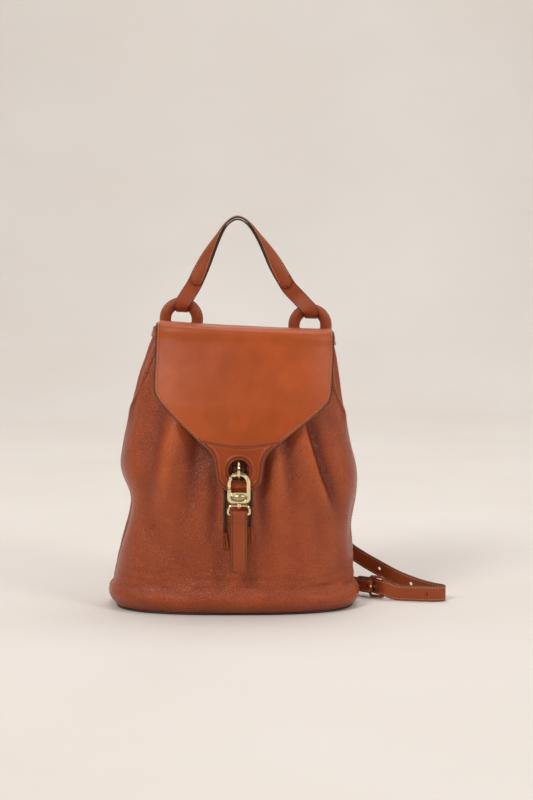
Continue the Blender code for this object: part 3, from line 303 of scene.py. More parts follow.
def metal_material(name, colour, gloss):
    """Plated metal with hairline scratches and a little tarnish."""
    made = Shader(name, metallic=1.0)
    stretched = made.add("ShaderNodeMapping", {"Vector": made.place, "Scale": (160.0, 160.0, 2400.0)})
    hairs = made.noise(1.0, 3.0, place=stretched.outputs["Vector"])
    cloud = made.noise(140.0, 3.0)
    tone = made.ramp(cloud, ((0.25, shaded(colour, 0.80)), (0.60, colour), (0.85, shaded(colour, 1.08))))
    rough = made.range(made.sum((hairs, 0.5), (cloud, 0.5)), 0.25, 0.75, gloss - 0.05, gloss + 0.14)
    return made.finish(tone, made.bump(hairs, 0.06, 0.0002), rough)


def cord_material():
    """A waxed braid: two diagonal sets of strands."""
    made = Shader("waxed_braid")
    first = made.add("ShaderNodeTexWave", {"Scale": 330.0, "Distortion": 0.8, "Vector": made.place},
                     bands_direction="DIAGONAL").outputs["Fac"]
    second = made.add("ShaderNodeTexWave", {"Scale": 330.0, "Distortion": 0.8, "Vector": made.place},
                      bands_direction="Z").outputs["Fac"]
    braid = made.sum((first, 0.5), (second, 0.5))
    tone = made.ramp(braid, ((0.2, (0.010, 0.007, 0.006)), (0.8, (0.055, 0.040, 0.032))))
    return made.finish(tone, made.bump(braid, 0.8, 0.0005), made.range(braid, 0.0, 1.0, 0.45, 0.68))


def paper_material():
    """The pale, slightly mottled studio paper."""
    made = Shader("studio_paper", roughness=0.9)
    cloud = made.noise(1.6, 4.0)
    tone = made.ramp(cloud, ((0.30, (0.735, 0.692, 0.652)), (0.70, (0.785, 0.748, 0.712))))
    return made.finish(tone, made.bump(made.noise(40.0), 0.05, 0.001), Specular_IOR_Level=0.1)


TAN = (0.420, 0.078, 0.015)
GRAINED = leather_material("grained_leather_finish", (0.392, 0.070, 0.014), 680.0, 0.30, 0.85, 0.29, 0.38)
SMOOTH = leather_material("smooth_leather_finish", TAN, 1500.0, 0.06, 0.16, 0.38)
STRAP = leather_material("strap_leather_finish", (0.330, 0.066, 0.016), 1150.0, 0.14, 0.34, 0.40)
PAINT = edge_material()
THREAD = thread_material("thread", (0.36, 0.16, 0.06), (0.68, 0.36, 0.16))
DARK_THREAD = thread_material("dark_thread", (0.055, 0.020, 0.010), (0.120, 0.045, 0.020))
LINING_CLOTH = fabric_material("lining_cloth", (0.250, 0.165, 0.105))
BOARD = fabric_material("fibre_board", (0.120, 0.085, 0.060))
SUEDE = fabric_material("flap_suede", (0.330, 0.135, 0.065))
BRASS = metal_material("pale_gold", (0.88, 0.73, 0.42), 0.07)
BRUSHED = metal_material("brushed_gold", (0.50, 0.40, 0.22), 0.34)
# Very dark leather: painted shade for the dark inside of the hole behind the ring.
SEAT_SHADE = leather_material("seat_leather_painted_shade", (0.095, 0.022, 0.008), 1150.0, 0.14, 0.34, 0.50)
STEEL = metal_material("plain_steel", (0.52, 0.52, 0.53), 0.35)
CORD = cord_material()

# ---------------------------------------------------------------- mesh tools


def ease(low, high, value):
    """A smooth step from 0 at low to 1 at high, on numbers or arrays."""
    share = np.clip((np.asarray(value, float) - low) / (high - low), 0.0, 1.0)
    return share * share * (3.0 - 2.0 * share)


def mix(first, second, share):
    return first + (second - first) * share


def unit(vectors):
    vectors = np.asarray(vectors, float)
    return vectors / np.maximum(np.linalg.norm(vectors, axis=-1, keepdims=True), 1e-12)


def curve_through(points, spacing):
    """Points about every spacing along the smooth curve that passes through the given ones."""
    points = np.asarray(points, float)
    ends = np.vstack([points[0] * 2 - points[1], points, points[-1] * 2 - points[-2]])
    curve = []
    for index in range(1, len(ends) - 2):
        before, start, stop, after = ends[index - 1:index + 3]
        steps = max(1, round(float(np.linalg.norm(stop - start)) / spacing))
        t = (np.arange(steps) / steps)[:, None]
        curve.append(0.5 * (2 * start + (stop - before) * t + (2 * before - 5 * start + 4 * stop - after) * t ** 2
                            + (3 * start - before - 3 * stop + after) * t ** 3))
    return np.vstack(curve + [points[-1:]])


def arc(centre, radius, start, stop, steps):
    """2D points on an arc, angles in degrees."""
    angles = np.radians(np.linspace(start, stop, steps + 1))
    return [(centre[0] + radius * math.cos(a), centre[1] + radius * math.sin(a)) for a in angles]


def ripple(points, wavelength, seed, count=14):
    """Smooth seeded noise from -1 to 1: a sum of waves of about one wavelength."""
    rng = np.random.default_rng(seed)
    total = np.zeros(np.shape(points)[:-1])
    for _ in range(count):
        direction = unit(rng.normal(size=3)) * 2 * math.pi / (wavelength * rng.uniform(0.7, 1.5))
        total += np.sin(np.asarray(points) @ direction + rng.uniform(0, 2 * math.pi))
    return total / math.sqrt(count)


def piece(name, points, faces, materials, slots=None, attributes=()):
    """A mesh object with outward faces, smooth shading and any float attributes."""
    mesh = bpy.data.meshes.new(name)
    mesh.from_pydata([tuple(point) for point in np.asarray(points, float)], [], faces)
    for material in materials:
        mesh.materials.append(material)
    if slots is not None:
        mesh.polygons.foreach_set("material_index", np.asarray(slots, np.int32))
    for key, values in dict(attributes).items():
        layer = mesh.attributes.new(key, "FLOAT", "POINT")
        layer.data.foreach_set("value", np.asarray(values, np.float32).ravel())
    work = bmesh.new()
    work.from_mesh(mesh)
    bmesh.ops.recalc_face_normals(work, faces=work.faces)
    work.to_mesh(mesh)
    work.free()
    mesh.shade_smooth()
    made = bpy.data.objects.new(name, mesh)
    bpy.context.scene.collection.objects.link(made)
    return made


def fit(made, body, slot, *replaced):
    """The piece rides on a body and stands for its CAD nodes; slot is not used."""
    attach(made, body)
    if replaced:
        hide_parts(*replaced)
    return made


def grid_faces(rows, columns, offset=0, wrap=False, turn=False):
    """Quads between rows of points; wrap joins each row's end to its start."""
    faces = []
    for row in range(rows - 1):
        for column in range(columns if wrap else columns - 1):
            after = (column + 1) % columns
            a, b = offset + row * columns + column, offset + row * columns + after
            quad = (a, b, b + columns, a + columns)
            faces.append(quad[::-1] if turn else quad)
    return faces


def border_of(rows, columns):
    """The indices round an open grid, in order."""
    ring = list(range(columns))
    ring += [row * columns + columns - 1 for row in range(1, rows)]
    ring += [(rows - 1) * columns + column for column in range(columns - 2, -1, -1)]
    ring += [row * columns for row in range(rows - 2, 0, -1)]
    return ring


def sheet_piece(name, outer, inner, materials, attributes=(), swell=0.0004, painted=0):
    """A thick sheet between two grids; its rim, and painted columns along its sides, take the second material."""
    rows, columns = outer.shape[:2]
    count = rows * columns
    ring = border_of(rows, columns)
    flat_outer, flat_inner = outer.reshape(-1, 3), inner.reshape(-1, 3)
    rim = (flat_outer[ring] + flat_inner[ring]) / 2
    around = unit(np.roll(rim, -1, 0) - np.roll(rim, 1, 0))
    away = np.cross(around, unit(flat_outer[ring] - flat_inner[ring]))
    middle = rim.mean(0)
    if np.sum((rim - middle) * away) < 0:
        away = -away
    points = np.vstack([flat_outer, flat_inner, rim + away * swell])
    faces = grid_faces(rows, columns) + grid_faces(rows, columns, count, turn=True)
    plain = len(faces)
    for index, corner in enumerate(ring):
        after = (index + 1) % len(ring)
        here, there = 2 * count + index, 2 * count + after
        faces += [(corner, ring[after], there, here), (here, there, ring[after] + count, corner + count)]
    side_columns = set(range(painted)) | set(range(columns - 1 - painted, columns - 1))
    slots = [1 if face % (columns - 1) in side_columns and painted else 0 for face in range(plain)]
    slots += [len(materials) - 1] * (len(faces) - plain)
    full = {key: np.concatenate([np.ravel(values), np.ravel(values), np.ravel(values)[ring]])
            for key, values in dict(attributes).items()}
    return piece(name, points, faces, materials, slots, full)


def sections_piece(name, sections, materials, edge_columns=(), closed=False, attributes=()):
    """Cross-sections joined along a way; edge_columns take the second material."""
    sections = np.asarray(sections)
    rows, columns = sections.shape[:2]
    faces = grid_faces(rows, columns, wrap=True)
    slots = [1 if column in edge_columns else 0 for _ in range(rows - 1) for column in range(columns)]
    if closed:
        last = (rows - 1) * columns
        for column in range(columns):
            after = (column + 1) % columns
            faces.append((last + column, last + after, after, column))
            slots.append(1 if column in edge_columns else 0)
    else:
        faces += [tuple(range(columns)), tuple(range(rows * columns - 1, (rows - 1) * columns - 1, -1))]
        slots += [len(materials) - 1] * 2
    return piece(name, sections.reshape(-1, 3), faces, materials, slots, attributes)


def tube_piece(name, path, radius, materials, sides=16, closed=True, upright=None):
    """A round wire along a path that lies in one plane."""
    path = np.asarray(path, float)
    if closed:
        along = unit(np.roll(path, -1, 0) - np.roll(path, 1, 0))
    else:
        along = unit(np.gradient(path, axis=0))
    if upright is None:
        centre = path.mean(0)
        upright = unit(np.cross(path[0] - centre, path[len(path) // 3] - centre))
    side = unit(np.cross(along, upright))
    angles = 2 * math.pi * np.arange(sides) / sides
    radius = np.broadcast_to(radius, len(path))[:, None, None]
    sections = (path[:, None] + side[:, None] * radius * np.cos(angles)[None, :, None]
                + np.asarray(upright) * radius * np.sin(angles)[None, :, None])
    return sections_piece(name, sections, materials, closed=closed)


def lathe_piece(name, outline, matrix, steps, materials):
    """A closed outline of (radius, height) turned round the matrix's Z."""
    angles = 2 * math.pi * np.arange(steps) / steps
    sections = [[matrix @ Vector((radius * math.cos(a), radius * math.sin(a), height)) for radius, height in outline]
                for a in angles]
    return sections_piece(name, sections, materials, closed=True)


def prism_piece(name, outline, matrix, depth, materials):
    """A flat outline in the matrix's XZ plane, given depth along its Y, centred."""
    count = len(outline)
    points = [matrix @ Vector((x, y, z)) for y in (-depth / 2, depth / 2) for x, z in outline]
    faces = [tuple(range(count)), tuple(range(2 * count - 1, count - 1, -1))]
    faces += [(i, (i + 1) % count, (i + 1) % count + count, i + count) for i in range(count)]
    return piece(name, points, faces, materials)


def cylinder_points(centre, axis, radius, length, steps=28):
    turn = Vector((0, 0, 1)).rotation_difference(Vector(axis)).to_matrix().to_4x4()
    matrix = Matrix.Translation(Vector(centre)) @ turn
    points = [matrix @ Vector((radius * math.cos(a), radius * math.sin(a), z))
              for z in (-length / 2, length / 2)
              for a in (2 * math.pi * step / steps for step in range(steps))]
    faces = [tuple(range(steps)), tuple(range(2 * steps - 1, steps - 1, -1))]
    faces += [(i, (i + 1) % steps, (i + 1) % steps + steps, i + steps) for i in range(steps)]
    return points, faces


def joined_tool(parts, material):
    """Several closed shapes as one cutting object."""
    points, faces = [], []
    for part_points, part_faces in parts:
        faces += [tuple(corner + len(points) for corner in face) for face in part_faces]
        points += part_points
    return piece("tool", points, faces, [material])


def settle(made, width=None, segments=3, angle=40.0, tool=None, operation="DIFFERENCE"):
    """Applies a Boolean with a tool, or a bevel on sharp edges, and shades the result."""
    if tool is not None:
        change = made.modifiers.new("cut", "BOOLEAN")
        change.object = tool
        change.operation = operation
        change.solver = "EXACT"
        if hasattr(change, "material_mode"):
            change.material_mode = "TRANSFER"
    else:
        change = made.modifiers.new("rounded", "BEVEL")
        change.width = width
        change.segments = segments
        change.limit_method = "ANGLE"
        change.angle_limit = math.radians(angle)
        change.harden_normals = False
    bpy.context.view_layer.update()
    shape = made.evaluated_get(bpy.context.evaluated_depsgraph_get())
    mesh = bpy.data.meshes.new_from_object(shape)
    made.modifiers.clear()
    made.data = mesh
    if tool is not None:
        bpy.data.objects.remove(tool, do_unlink=True)
    mesh.shade_smooth()
    mesh.set_sharp_from_angle(angle=math.radians(50))
    return made


def walk(line, distances):
    """Points at distances along a polyline, which may carry more columns than three."""
    line = np.asarray(line, float)
    lengths = np.concatenate([[0.0], np.cumsum(np.linalg.norm(np.diff(line[:, :3], axis=0), axis=1))])
    return np.stack([np.interp(distances, lengths, line[:, column]) for column in range(line.shape[1])], 1)


def line_length(line):
    return float(np.linalg.norm(np.diff(np.asarray(line)[:, :3], axis=0), axis=1).sum())


def stitches(name, rows, body, slot, thread=THREAD, pitch=0.0034, length=0.0025, radius=0.00056):
    """Rows of sewn thread, each a line of points with their surface normals, as one piece."""
    rng = np.random.default_rng(11)
    shape = ((-0.50, 0.35), (-0.42, 0.80), (-0.15, 1.0), (0.15, 1.0), (0.42, 0.80), (0.50, 0.35))
    sides = 6
    angles = 2 * math.pi * np.arange(sides) / sides
    points, faces = [], []
    for line, normals in rows:
        both = np.hstack([line, normals])
        total = line_length(line)
        count = int(total / pitch)
        if count < 1:
            continue
        starts = (np.arange(count) + 0.5) * total / count
        centres = walk(both, starts)
        along = unit(walk(both, starts + 0.0004)[:, :3] - walk(both, starts - 0.0004)[:, :3])
        up = unit(centres[:, 3:])
        side = unit(np.cross(along, up))
        along = unit(along + side * rng.normal(0, 0.05, (count, 1)))
        for centre, forward, sideways, above in zip(centres[:, :3], along, side, up):
            first = len(points)
            for place, size in shape:
                for angle in angles:
                    points.append(centre + forward * place * length - above * radius * 0.55 * (abs(place) > 0.3)
                                  + radius * size * (sideways * math.cos(angle) + above * math.sin(angle)))
            faces += grid_faces(len(shape), sides, first, wrap=True)
            faces += [tuple(range(first + sides - 1, first - 1, -1)),
                      tuple(range(first + (len(shape) - 1) * sides, first + len(shape) * sides))]
    return fit(piece(name, points, faces, [thread]), body, slot)


# ---------------------------------------------------------------- straps


def strap_frames(path, across):
    """Along, side and face directions of a strap at each point of its path."""
    along = unit(np.gradient(path, axis=0))
    side = unit(across - along * np.sum(across * along, 1, keepdims=True))
    return along, side, np.cross(along, side)


# Half of a strap's outline: distance from the edge, and share of the half thickness.
STRAP_EDGE = ((0.0, 0.0), (0.00008, 0.45), (0.00030, 0.80), (0.00065, 0.98), (0.0012, 1.04), (0.0018, 1.03),
              (0.0021, 0.90), (0.0025, 0.90), (0.0029, 1.03), (0.0040, 1.05))


def strap_sections(path, across, width, thickness, crown=0.0, round_ends=(0.0, 0.0)):
    """Cross-sections with painted edges, sewing grooves and, if asked, rounded ends."""
    path, across = np.asarray(path, float), np.asarray(across, float)
    _, side, face = strap_frames(path, across)
    half = np.broadcast_to(np.asarray(width, float) / 2, len(path)).copy()
    lengths = np.concatenate([[0.0], np.cumsum(np.linalg.norm(np.diff(path, axis=0), axis=1))])
    for reach, distance in zip(round_ends, (lengths, lengths[-1] - lengths)):
        if reach > 0:
            share = np.clip(distance / reach, 0.004, 1.0)
            half *= np.sqrt(1.0 - (1.0 - share) ** 2)
    thick = np.broadcast_to(np.asarray(thickness, float), len(path))
    sections = []
    for index in range(len(path)):
        room = half[index]
        spans = [(min(distance, room * 0.92 * distance / STRAP_EDGE[-1][0]) if room < 0.0046 else distance, share)
                 for distance, share in STRAP_EDGE]
        swell = crown * min(1.0, room / 0.008)
        top = [(room - distance, share * thick[index] / 2 + swell * (distance / 0.004) ** 2 * 0.4)
               for distance, share in spans]
        top.append((room * 0.35, 1.05 * thick[index] / 2 + swell * 0.9))
        top.append((0.0, 1.05 * thick[index] / 2 + swell))
        over = top + [(-s, f) for s, f in reversed(top[:-1])]
        under = [(-room + distance, -share * thick[index] / 2) for distance, share in spans[1:]]
        under += [(-room * 0.35, -1.03 * thick[index] / 2), (room * 0.35, -1.03 * thick[index] / 2)]
        under += [(room - distance, -share * thick[index] / 2) for distance, share in reversed(spans[1:])]
        sections.append([path[index] + side[index] * s + face[index] * f for s, f in over + under])
    return np.asarray(sections)


def strap_piece(name, path, across, width, thickness, materials=None, **shape):
    """A sewn leather strap along a path; across gives its width direction at each point."""
    sections = strap_sections(path, across, width, thickness, **shape)
    columns = sections.shape[1]
    half_over = 2 * (len(STRAP_EDGE) + 2) - 2
    painted = 3
    edge = set(range(painted)) | set(range(half_over - painted, half_over + painted))
    edge |= set(range(columns - painted, columns))
    # Painted shade in each sewing groove: the fold attribute darkens the groove's columns.
    tone = np.zeros(columns)
    for first in (0, half_over + 1 - len(STRAP_EDGE)):
        tone[first + 5:first + 9] = (-0.35, -0.8, -0.8, -0.35)
    groove = np.broadcast_to(tone, sections.shape[:2])
    return sections_piece(name, sections, materials or [STRAP, PAINT], edge, attributes={"fold": groove})


def strap_lines(path, across, width, thickness, inset=0.0023, faces=(1,), trim=0.004):
    """Sewing lines along both edges of a strap, on its +face (1) or its -face (-1)."""
    path, across = np.asarray(path, float), np.asarray(across, float)
    _, side, face = strap_frames(path, across)
    half = np.broadcast_to(np.asarray(width, float) / 2, len(path))[:, None]
    thick = np.broadcast_to(np.asarray(thickness, float), len(path))[:, None]
    total = line_length(path)
    rows = []
    for facing in faces:
        for edge in (-1, 1):
            line = path + side * edge * (half - inset) + face * facing * (thick * 0.45 + 0.00012)
            both = walk(np.hstack([line, face * facing]), np.linspace(trim, total - trim, max(8, int(total / 0.002))))
            rows.append((both[:, :3], both[:, 3:]))
    return rows


# ---------------------------------------------------------------- drawstring ends

make_camera()
make_stage()


def extents(z):
    """Left, right, front and back of the body's outer face at each height, without kinks."""
    z = np.clip(np.asarray(z, float), BASE_Z, RIM_Z + 0.01)
    reach = np.clip(z * 0.20, 0.0008, 0.0070)
    total = 0.0
    for share in (-1.0, -0.5, 0.0, 0.5, 1.0):
        total = total + np.stack([np.interp(z + share * reach, BODY_STATIONS[:, 0], BODY_STATIONS[:, item])
                                  for item in range(1, 5)])
    return total / 5


def straight_extents(z):
    """The same as the CAD has them, straight from station to station."""
    return [np.interp(z, BODY_STATIONS[:, 0], BODY_STATIONS[:, item]) for item in range(1, 5)]


def tilted(x, y, z):
    """Lowers the right of the crown and raises its left."""
    fall = CROWN_TILT * ease(0.12, 0.30, z)
    return np.stack([x, y, z - fall * (x - CROWN_LEAN * np.maximum(0.0, z / CROWN_Z))], -1)


def body_point(turn, z, out=0.0, height=None):
    """Points on the body; turn is 0 in front and grows to the right, out is measured outwards."""
    left, right, front, back = extents(z)
    power = 2.0 / BODY_POWER
    across, depth = np.sin(turn), -np.cos(turn)
    x = (left + right) / 2 + ((right - left) / 2 + out) * np.sign(across) * np.abs(across) ** power
    y = (front + back) / 2 + ((back - front) / 2 + out) * np.sign(depth) * np.abs(depth) ** power
    return tilted(x, y, z if height is None else np.broadcast_to(height, np.shape(x)))


def eyelet_matrix(sign):
    """An eyelet's place, with Z out of the bag."""
    here = sign * EYELET_TURN
    sideways = body_point(here + 0.05, EYELET_Z) - body_point(here - 0.05, EYELET_Z)
    upwards = body_point(here, EYELET_Z + 0.004) - body_point(here, EYELET_Z - 0.004)
    outward = Vector(np.cross(sideways, upwards)).normalized()
    turn = Vector((0, 0, 1)).rotation_difference(outward).to_matrix().to_4x4()
    return Matrix.Translation(Vector(body_point(here, EYELET_Z))) @ turn


CORD_RADIUS = 0.0015
# The free ends: place across from the clasp's centre and height, on the body's front.
CORD_ROUTES = {
    "left": ((-0.0165, 0.286), (-0.0172, 0.270), (-0.0165, 0.250), (-0.0150, 0.225), (-0.0145, 0.200),
             (-0.0152, 0.175), (-0.0160, 0.155), (-0.0165, 0.135), (-0.0168, 0.115), (-0.0168, 0.0985)),
    "right": ((0.0225, 0.286), (0.0215, 0.270), (0.0190, 0.250), (0.0165, 0.225), (0.0150, 0.200),
              (0.0144, 0.175), (0.0142, 0.155), (0.0140, 0.138), (0.0134, 0.120), (0.0126, 0.1055)),
}
CORD_STANDOFF = 0.0030
TIP_LENGTH = 0.0175
TIP_WIDTH = 0.0100
TIP_THICK = 0.0036


def cord_curve(name, points, radius):
    curve = bpy.data.curves.new(name, "CURVE")
    curve.dimensions = "3D"
    curve.bevel_depth = radius
    curve.bevel_resolution = 4
    curve.use_fill_caps = True
    spline = curve.splines.new("POLY")
    spline.points.add(len(points) - 1)
    for target, point in zip(spline.points, points):
        target.co = (*point, 1.0)
    curve.materials.append(CORD)
    made = bpy.data.objects.new(name, curve)
    bpy.context.scene.collection.objects.link(made)
    return made


def cord_tip(side, end, lean):
    """The leather tip: a tapered leaf folded round the knot."""
    steps = 22
    share = np.linspace(0.0, 1.0, steps)
    path = end + lean * (GAP + share[:, None] * TIP_LENGTH)
    across = np.broadcast_to((1.0, 0.0, 0.0), path.shape)
    waist = 0.55 + 0.45 * share ** 1.3 - 0.10 * np.exp(-((share - 0.20) / 0.10) ** 2)
    waist[0] *= 0.86
    bulk = 0.62 + 0.38 * np.sin(np.pi * np.clip(share * 1.25, 0, 1)) - 0.25 * ease(0.75, 1.0, share)
    tip = strap_piece("cord_tip_leather_" + side, path, across, TIP_WIDTH * waist, TIP_THICK * bulk,
                      [SMOOTH, SMOOTH])
    return fit(tip, "bag", "strap_leather", "cord_tip_" + side)


def make_cord_ends():
    for side, sign in (("left", -1), ("right", 1)):
        matrix = eyelet_matrix(sign)
        route = [list(matrix @ Vector((0, 0, 0.0022 + GAP))), list(matrix @ Vector((0, 0, 0.0036)))]
        for across, z in CORD_ROUTES[side]:
            route.append((CLASP_X + across, float(straight_extents(z)[2]) - CORD_STANDOFF, z))
        line = curve_through(route, 0.0030)
        rope = cord_curve("drawstring_rope_" + side, line, CORD_RADIUS)
        fit(rope, "bag", "black_cord", "drawstring_end_" + side)
        lean = unit(np.subtract(route[-1], route[-2]))
        tip = cord_tip(side, np.asarray(route[-1]), lean)
        line_length(line)


make_cord_ends()

# ---------------------------------------------------------------- body


def along_line(z, line):
    """The place across of a fold line at each height."""
    heights = [point[0] for point in line]
    places = [point[1] for point in line]
    return np.interp(z, heights, places)


# Folds of the front: each is (height, place across) from low to high, then its height profile
# (height, amount) and its reach to the left and to the right. Positive amounts are ridges.
FRONT_FOLDS = (
    (((0.120, -0.0850), (0.151, -0.0785), (0.190, -0.0710), (0.223, -0.0640), (0.262, -0.0560)),
     ((0.105, 0.0), (0.150, 0.0026), (0.185, 0.0056), (0.222, 0.0056), (0.262, 0.0)), 0.0125, 0.0070),
    (((0.110, -0.0560), (0.150, -0.0520), (0.190, -0.0450), (0.225, -0.0400), (0.280, -0.0340)),
     ((0.085, 0.0), (0.135, -0.0045), (0.180, -0.0100), (0.215, -0.0100), (0.250, -0.0045), (0.290, 0.0)),
     0.0125, 0.0170),
    (((0.100, -0.0260), (0.140, -0.0210), (0.200, -0.0300)),
     ((0.080, 0.0), (0.120, -0.0040), (0.170, -0.0050), (0.205, -0.0030), (0.230, 0.0)), 0.0120, 0.0075),
    (((0.110, -0.0960), (0.150, -0.0990), (0.200, -0.0930), (0.240, -0.0860)),
     ((0.090, 0.0), (0.135, -0.0036), (0.170, -0.0030), (0.215, -0.0040), (0.255, 0.0)), 0.0150, 0.0130),
    (((0.110, 0.1120), (0.141, 0.1050), (0.180, 0.0925), (0.221, 0.0810), (0.262, 0.0730)),
     ((0.110, 0.0), (0.141, 0.0042), (0.180, 0.0058), (0.222, 0.0056), (0.262, 0.0)), 0.0115, 0.0062),
    (((0.110, 0.1260), (0.141, 0.1190), (0.180, 0.1070), (0.221, 0.0950), (0.262, 0.0850)),
     ((0.105, 0.0), (0.135, -0.0060), (0.165, -0.0095), (0.205, -0.0075), (0.245, -0.0020), (0.270, 0.0)),
     0.0100, 0.0110),
    (((0.100, 0.0360), (0.140, 0.0320), (0.200, 0.0400)),
     ((0.075, 0.0), (0.115, -0.0042), (0.165, -0.0068), (0.205, -0.0040), (0.230, 0.0)), 0.0080, 0.0130),
    (((0.110, 0.0760), (0.150, 0.0700), (0.190, 0.0640), (0.225, 0.0590)),
     ((0.105, 0.0), (0.150, -0.0030), (0.190, -0.0048), (0.225, -0.0045), (0.265, 0.0)), 0.0110, 0.0120),
    (((0.110, 0.0560), (0.150, 0.0545), (0.190, 0.0520)),
     ((0.105, 0.0), (0.150, 0.0016), (0.185, 0.0020), (0.220, 0.0)), 0.0090, 0.0080),
    (((0.020, -0.0300), (0.060, -0.0600), (0.110, -0.1050)),
     ((0.030, 0.0), (0.060, -0.0016), (0.100, -0.0022), (0.125, 0.0)), 0.0180, 0.0180),
    (((0.030, 0.0700), (0.070, 0.0860), (0.110, 0.1080)),
     ((0.035, 0.0), (0.070, -0.0014), (0.105, -0.0022), (0.130, 0.0)), 0.0160, 0.0180),
)


def fold_depth(turn, z):
    """How far the gathered leather stands out of, or sinks into, the body's plain shape."""
    point = body_point(turn, z)
    x, y = point[..., 0], point[..., 1]
    front = ease(0.15, -0.25, np.cos(turn + math.pi))
    depth = np.zeros_like(x)
    for line, profile, left, right in FRONT_FOLDS:
        away = x - along_line(z, line)
        amount = np.interp(z, [p[0] for p in profile], [p[1] for p in profile])
        reach = np.where(away < 0, left, right)
        depth += front * amount * np.exp(-(away / reach) ** 2)
    gather = ease(0.180, 0.285, z) * ease(0.3275, 0.312, z)
    pleats = np.cos(turn * 23 + 1.3 * np.sin(turn * 3 + 0.6) + 0.8)
    depth += gather * (0.0007 * pleats - 0.0010)
    side = np.exp(-((np.abs(np.sin(turn)) - 1.0) / 0.10) ** 2)
    hollow = np.interp(z, (0.08, 0.13, 0.21, 0.27, 0.31), (0.0, 0.35, 1.0, 0.6, 0.0))
    depth -= np.where(np.sin(turn) > 0, 0.0003, 0.0045) * side * hollow * ease(-0.0, 0.6, np.cos(turn * 2 + math.pi))
    back = 1.0 - front
    sweep = np.cos(x * 95.0 + 0.9 * np.sin(z * 30.0) + 0.4)
    depth += back * (0.0010 * sweep - 0.0013) * ease(0.10, 0.19, z) * ease(0.325, 0.29, z)
    place = np.stack([x, y, z * 0.55], -1)
    soft = ripple(place, 0.075, 3) * 0.0011 + ripple(place, 0.028, 5) * 0.00042
    depth += soft * ease(0.006, 0.045, z) * ease(0.326, 0.30, z)
    wrinkles = ripple(np.stack([x, y, z * 3.2], -1), 0.030, 8)
    depth += 0.00045 * wrinkles * ease(0.012, 0.030, z) * ease(0.075, 0.035, z)
    clasp = np.exp(-((x - CLASP_X) / 0.017) ** 4) * front * ease(0.075, 0.10, z)
    eyelets = np.exp(-((np.abs(x - CLASP_X - 0.004) - 0.022) / 0.012) ** 2) * front * ease(0.27, 0.288, z)
    calm = 1.0 - np.clip(clasp + eyelets, 0.0, 1.0)
    depth = depth * calm - 0.0003 * (1.0 - calm)
    ceiling = np.where(front > 0.5, 0.0052, 0.0004)
    return np.minimum(depth, ceiling)


def seam_turn(z):
    """Where the side seam runs, as a turn from the front."""
    return np.radians(mix(90.0, 60.0, ease(0.20, 0.28, z)))


def even_turns():
    """A table that spaces turns evenly along the body's plan."""
    turns = np.linspace(0.0, 2 * math.pi, 4001)
    power = 2.0 / BODY_POWER
    x = 0.140 * np.sign(np.sin(turns)) * np.abs(np.sin(turns)) ** power
    y = -0.075 * np.sign(np.cos(turns)) * np.abs(np.cos(turns)) ** power
    lengths = np.concatenate([[0.0], np.cumsum(np.hypot(np.diff(x), np.diff(y)))])
    return turns, lengths


TURNS, PLAN_LENGTHS = even_turns()


def panel_turns(name, z, columns):
    """Evenly spaced turns from seam to seam at each height."""
    whole = PLAN_LENGTHS[-1]
    edge = np.interp(seam_turn(z), TURNS, PLAN_LENGTHS)
    share = np.linspace(0.0, 1.0, columns)
    if name == "front_panel":
        places = -edge[:, None] + 2 * edge[:, None] * share
    else:
        places = edge[:, None] + (whole - 2 * edge[:, None]) * share
    return np.interp(np.mod(places, whole), PLAN_LENGTHS, TURNS)


